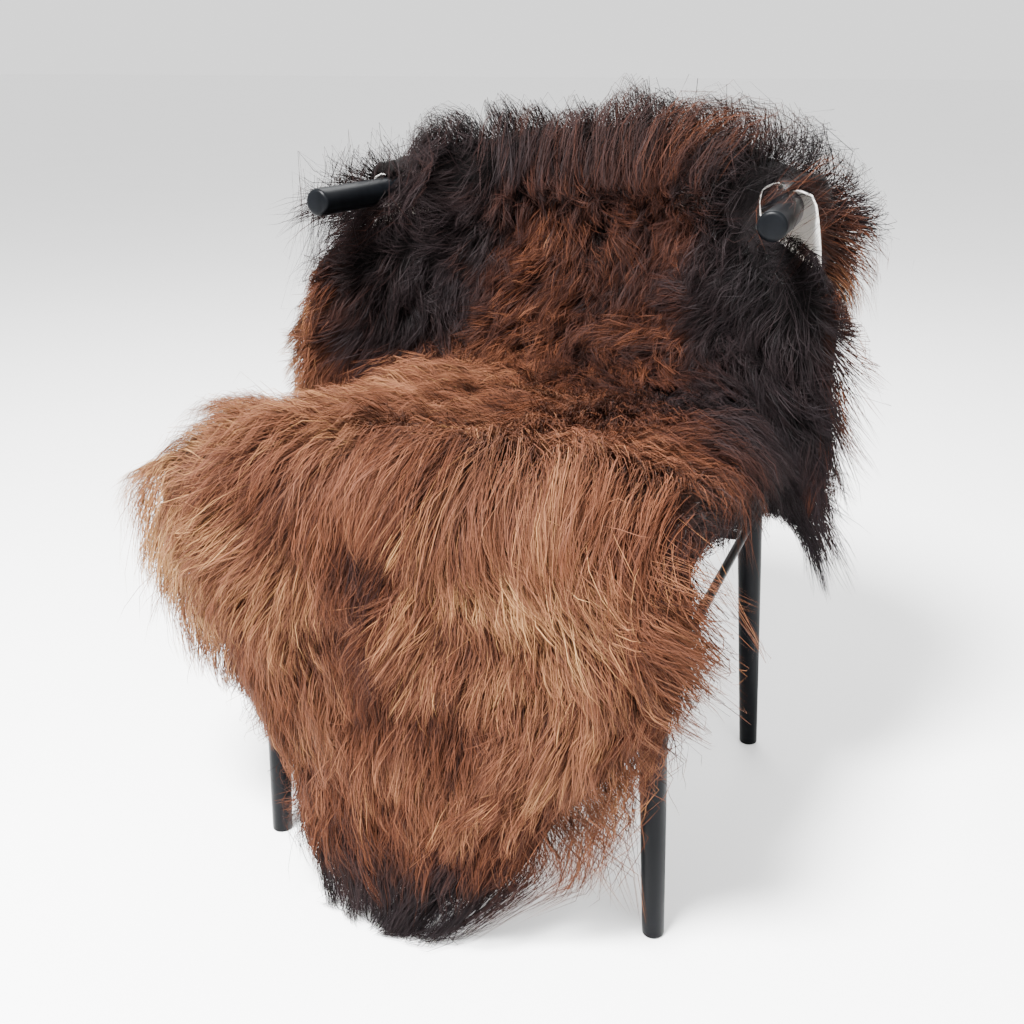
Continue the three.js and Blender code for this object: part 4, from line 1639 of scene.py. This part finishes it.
        track = self._walk(root_a, root_b, turn, run)
        points = self._lift(*track, fullness, stand)
        steps_up = np.linspace(0, 1, self.spans + 1)
        gathered = np.where(stray, 0.15, random.uniform(0.62, 0.97, total))
        pull = (steps_up**1.25)[:, None] * gathered
        points = points + (wisps.middle[:, each] - points) * pull[..., None]
        wave = random.normal(0, 1, (total, 3)) * self.wave
        points = points + (np.sin(steps_up * 5.2) * steps_up)[:, None, None] * wave
        blocked = self._near_arm(points)
        pressed = self._lift(*track, fullness * self.flattened, stand)
        points[:, blocked] = pressed[:, blocked]
        keep = self._rooted(*track) & ~self._near_arm(points)
        points[..., 2] = np.maximum(points[..., 2], self.floor)
        keep &= self._in_room(points)

        tone = np.clip(wisps.tone[each] * (1 + random.normal(0, 0.13, total)), 0.004, 0.995)
        shade = wisps.shade[each] + random.normal(0, 0.09, total)
        # Painted shade: hairs that rise less lie deeper in the coat and are painted darker, and so are
        # hairs far from their wisp's middle, in the partings between wisps.
        shade = shade + 0.45 * (evenness - 1) - 0.08 * off_centre
        normal = unit(sheet.read(sheet.normals, *track))
        return Hairs(points, normal, tone, shade, wisps.row[each]).some(keep)

    def _in_room(self, points: Array) -> Array:
        """Which hairs stay within the spare room round the CAD box."""
        low, high = (np.array(corner) for corner in self.cad_box)
        spare = np.array(self.spare_room)
        return ((points > low - spare) & (points < high + spare)).all((0, 2))

    def _is_hide(self, a: Array, b: Array) -> Array:
        """Whether grid places fall on real hide."""
        cells = self.sheet.cells
        i = np.clip(a.astype(int), 0, cells.shape[0] - 1)
        j = np.clip(b.astype(int), 0, cells.shape[1] - 1)
        return cells[i, j]

    def _in_notch(self, a: Array, b: Array) -> Array:
        """Whether grid places fall in the notches that the arms pass through."""
        sheet = self.sheet
        upper, lower = sheet.margin + np.searchsorted(sheet.stations, sheet.lips)
        aside = np.abs(b - (sheet.points.shape[1] - 1) / 2) > sheet.shoulder * sheet.across / 2
        return (a > upper) & (a < lower) & aside

    def _rooted(self, a: Array, b: Array) -> Array:
        """Which hairs grow from real hide and stay out of the open notch.

        Args:
            a: Grid places at each step, along.
            b: Grid places at each step, across.

        Returns:
            A mask over the hairs.
        """
        sheet = self.sheet
        middle = (sheet.points.shape[1] - 1) / 2
        in_open = self._in_notch(a, b) & ((b - middle) * self.notched_side > 0)
        lip = sheet.margin + np.searchsorted(sheet.stations, sheet.split)
        above = in_open.any(0) & (a[0] < lip)
        edge_a, edge_b = sheet.points.shape[0] - 1.5, sheet.points.shape[1] - 1.5
        on_grid = ((a > 0.5) & (a < edge_a) & (b > 0.5) & (b < edge_b)).all(0)
        return self._is_hide(a[0], b[0]) & ~above & on_grid

    def _near_arm(self, points: Array) -> Array:
        """Which hairs would run through the bow rail or its stub arms."""
        near = np.full(points.shape[1], np.inf)
        for spot in self.bow_line:
            near = np.minimum(near, np.linalg.norm(points - spot, axis=-1).min(0))
        return near < self.arm_room

    def _blades(self, hairs: Hairs) -> Array:
        """The outlines of hairs as flat tapering ribbons.

        Args:
            hairs: The hairs.

        Returns:
            Each hair's points, in pairs from root to tip and one at the tip.
        """
        points = hairs.points
        steps, total = points.shape[:2]
        ahead = unit(np.gradient(points, axis=0))
        across = unit(np.cross(ahead, hairs.normal))
        over = np.cross(across, ahead)
        angle = self.random.normal(0, 0.6, total)[None, :, None]
        across = across * np.cos(angle) + over * np.sin(angle)
        width = (self.hair_width * self.random.uniform(0.7, 1.25, total))[None, :, None]
        width = width * np.array(HAIR_TAPER)[:, None, None] / 2
        left, right = points - across * width, points + across * width
        blades = np.empty((total, 2 * steps - 1, 3), np.float32)
        blades[:, 0:-1:2] = left[:-1].swapaxes(0, 1)
        blades[:, 1:-1:2] = right[:-1].swapaxes(0, 1)
        blades[:, -1] = points[-1]
        return blades

    def _ribbons(self, name: str, hairs: Hairs) -> bpy.types.Mesh:
        """Hairs as flat tapering ribbons in one mesh.

        Args:
            name: The mesh's name.
            hairs: The hairs.

        Returns:
            The mesh.
        """
        blades = self._blades(hairs)
        total, corners = blades.shape[:2]
        spans = (corners - 1) // 2
        quads = [[2 * k, 2 * k + 1, 2 * k + 3, 2 * k + 2] for k in range(spans - 1)]
        tip = [corners - 3, corners - 2, corners - 1]
        pattern = np.array([corner for quad in quads for corner in quad] + tip)
        sizes = np.array([4] * len(quads) + [3])
        loops = (pattern[None] + (np.arange(total) * corners)[:, None]).ravel()
        starts = np.concatenate([[0], np.cumsum(np.tile(sizes, total))[:-1]])
        mesh = bpy.data.meshes.new(name)
        mesh.vertices.add(total * corners)
        mesh.vertices.foreach_set("co", blades.ravel())
        mesh.loops.add(len(loops))
        mesh.loops.foreach_set("vertex_index", loops.astype(np.int32))
        mesh.polygons.add(total * len(sizes))
        mesh.polygons.foreach_set("loop_start", starts.astype(np.int32))
        # Painted shade: each hair's light from root to tip, moved by its own shade offset.
        shades = np.clip(np.array(HAIR_LIGHT)[None] + hairs.shade[:, None], 0.01, 0.99)
        shades = np.concatenate([np.repeat(shades[:, :-1], 2, axis=1), shades[:, -1:]], axis=1)
        sideways = np.append(np.tile([0.0, self.tone_width], spans), self.tone_width / 2)
        tones = np.clip(hairs.tone[:, None] + sideways[None], 0, 1)
        uv = np.stack([tones[:, pattern], shades[:, pattern]], -1).astype(np.float32)
        layer = mesh.uv_layers.new(name=PALETTE_MAP)
        layer.data.foreach_set("uv", uv.ravel())
        mesh.update()
        mesh.validate()
        return mesh

    def _share_out(self, pieces: list[bpy.types.Object]) -> None:
        """Lets each piece of coat stand for the rim's strips of locks that lie nearest to it.

        Args:
            pieces: The pieces of coat.
        """
        middles = []
        for piece in pieces:
            places = np.zeros(len(piece.data.vertices) * 3, np.float32)
            piece.data.vertices.foreach_get("co", places)
            middles.append(places.reshape(-1, 3).mean(0))
        shares: dict[int, list[str]] = {k: [] for k in range(len(pieces))}
        for node in sorted(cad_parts):
            if node.startswith("locks_"):
                low, high = (np.array(corner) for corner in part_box(node))
                gaps = [np.linalg.norm((low + high) / 2 - middle) for middle in middles]
                shares[int(np.argmin(gaps))].append(node)
        for k, piece in enumerate(pieces):
            self._dress(piece, shares[k])


# The studio


@dataclass(frozen=True)
class Lamp:
    """One soft lamp, by the way that it shines from and its strength."""

    name: str
    azimuth: float
    height: float
    size: float
    power: float
    distance: float = 2.8

    def hang(self, target: Array) -> None:
        """Hangs the lamp and turns it to a target."""
        data = bpy.data.lights.new(self.name, "AREA")
        data.shape = "DISK"
        data.size = self.size
        data.energy = self.power
        lamp = bpy.data.objects.new(self.name, data)
        a, e = math.radians(self.azimuth), math.radians(self.height)
        back = np.array([math.sin(a) * math.cos(e), -math.cos(a) * math.cos(e), math.sin(e)])
        lamp.matrix_world = aimed(target + back * self.distance, self.azimuth, self.height)
        bpy.context.scene.collection.objects.link(lamp)


def aimed(place: Array, azimuth: float, height: float) -> Matrix:
    """A camera's or lamp's matrix.

    Args:
        place: Where it stands.
        azimuth: The side that it stands on, in degrees from the front round to the right.
        height: How far it looks down, in degrees.

    Returns:
        The matrix.
    """
    a, e = math.radians(azimuth), math.radians(height)
    right = np.array([math.cos(a), math.sin(a), 0.0])
    back = np.array([math.sin(a) * math.cos(e), -math.cos(a) * math.cos(e), math.sin(e)])
    matrix = np.eye(4)
    matrix[:3, 0], matrix[:3, 1], matrix[:3, 2] = right, np.cross(back, right), back
    matrix[:3, 3] = place
    return Matrix(matrix.tolist())


@dataclass
class Studio:
    """The floor, the lamps and the camera."""

    shift: Array
    camera_place: Triple = (0.548, -1.261, 0.856)
    azimuth: float = 24.58
    tilt: float = 19.79
    lens: float = 44.26
    sensor: float = 36.0
    ambient: float = 1.55
    lit_height: float = 0.42
    floor_half: float = 60.0
    lamps: tuple[Lamp, ...] = (
        Lamp("key_lamp", -10, 57, 0.9, 780),
        Lamp("fill_lamp", 48, 30, 2.2, 60),
        Lamp("back_lamp", 200, 50, 1.6, 60),
    )

    def build(self) -> None:
        """Sets the camera, the lamps, the world and the floor."""
        self._camera()
        self._floor()
        for lamp in self.lamps:
            lamp.hang(self.shift + np.array([0.0, 0.0, self.lit_height]))
        world = bpy.data.worlds.new("studio")
        world.use_nodes = True
        world.node_tree.nodes["Background"].inputs["Color"].default_value = (1.0, 1.0, 1.0, 1.0)
        world.node_tree.nodes["Background"].inputs["Strength"].default_value = self.ambient
        bpy.context.scene.world = world

    def _camera(self) -> None:
        """Puts the camera where the photograph was taken from."""
        data = bpy.data.cameras.new("camera")
        data.lens = self.lens
        data.sensor_width = self.sensor
        camera = bpy.data.objects.new("camera", data)
        camera.matrix_world = aimed(np.array(self.camera_place) + self.shift, self.azimuth, self.tilt)
        bpy.context.scene.collection.objects.link(camera)
        bpy.context.scene.camera = camera

    def _floor(self) -> None:
        """Lays a wide pale floor."""
        half = self.floor_half
        corners = np.array([[-half, -half, 0], [half, -half, 0], [half, half, 0], [-half, half, 0]])
        floor = add_object("floor", mesh_from("floor", corners, [(0, 1, 2, 3)]), PaleFloor().material())
        floor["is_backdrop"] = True


def main() -> None:
    """Builds the studio, the chair and the rug."""
    logging.basicConfig(level=logging.INFO, format="%(name)s: %(message)s")
    cad_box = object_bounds()
    low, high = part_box("seat")
    chair_sizes = Chair(shift=np.zeros(3))
    shift = np.array([(low[0] + high[0]) / 2, low[1] - chair_sizes.seat_front[1], 0.0])
    Studio(shift).build()
    chair = Chair(shift)
    pieces = chair.build()
    log.info("the chair has %d pieces", len(pieces))
    coat = Coat(Sheet(shift), chair.bow_line(80) + shift, cad_box)
    coat.build(pieces[:3])


if __name__ == "__main__":
    main()
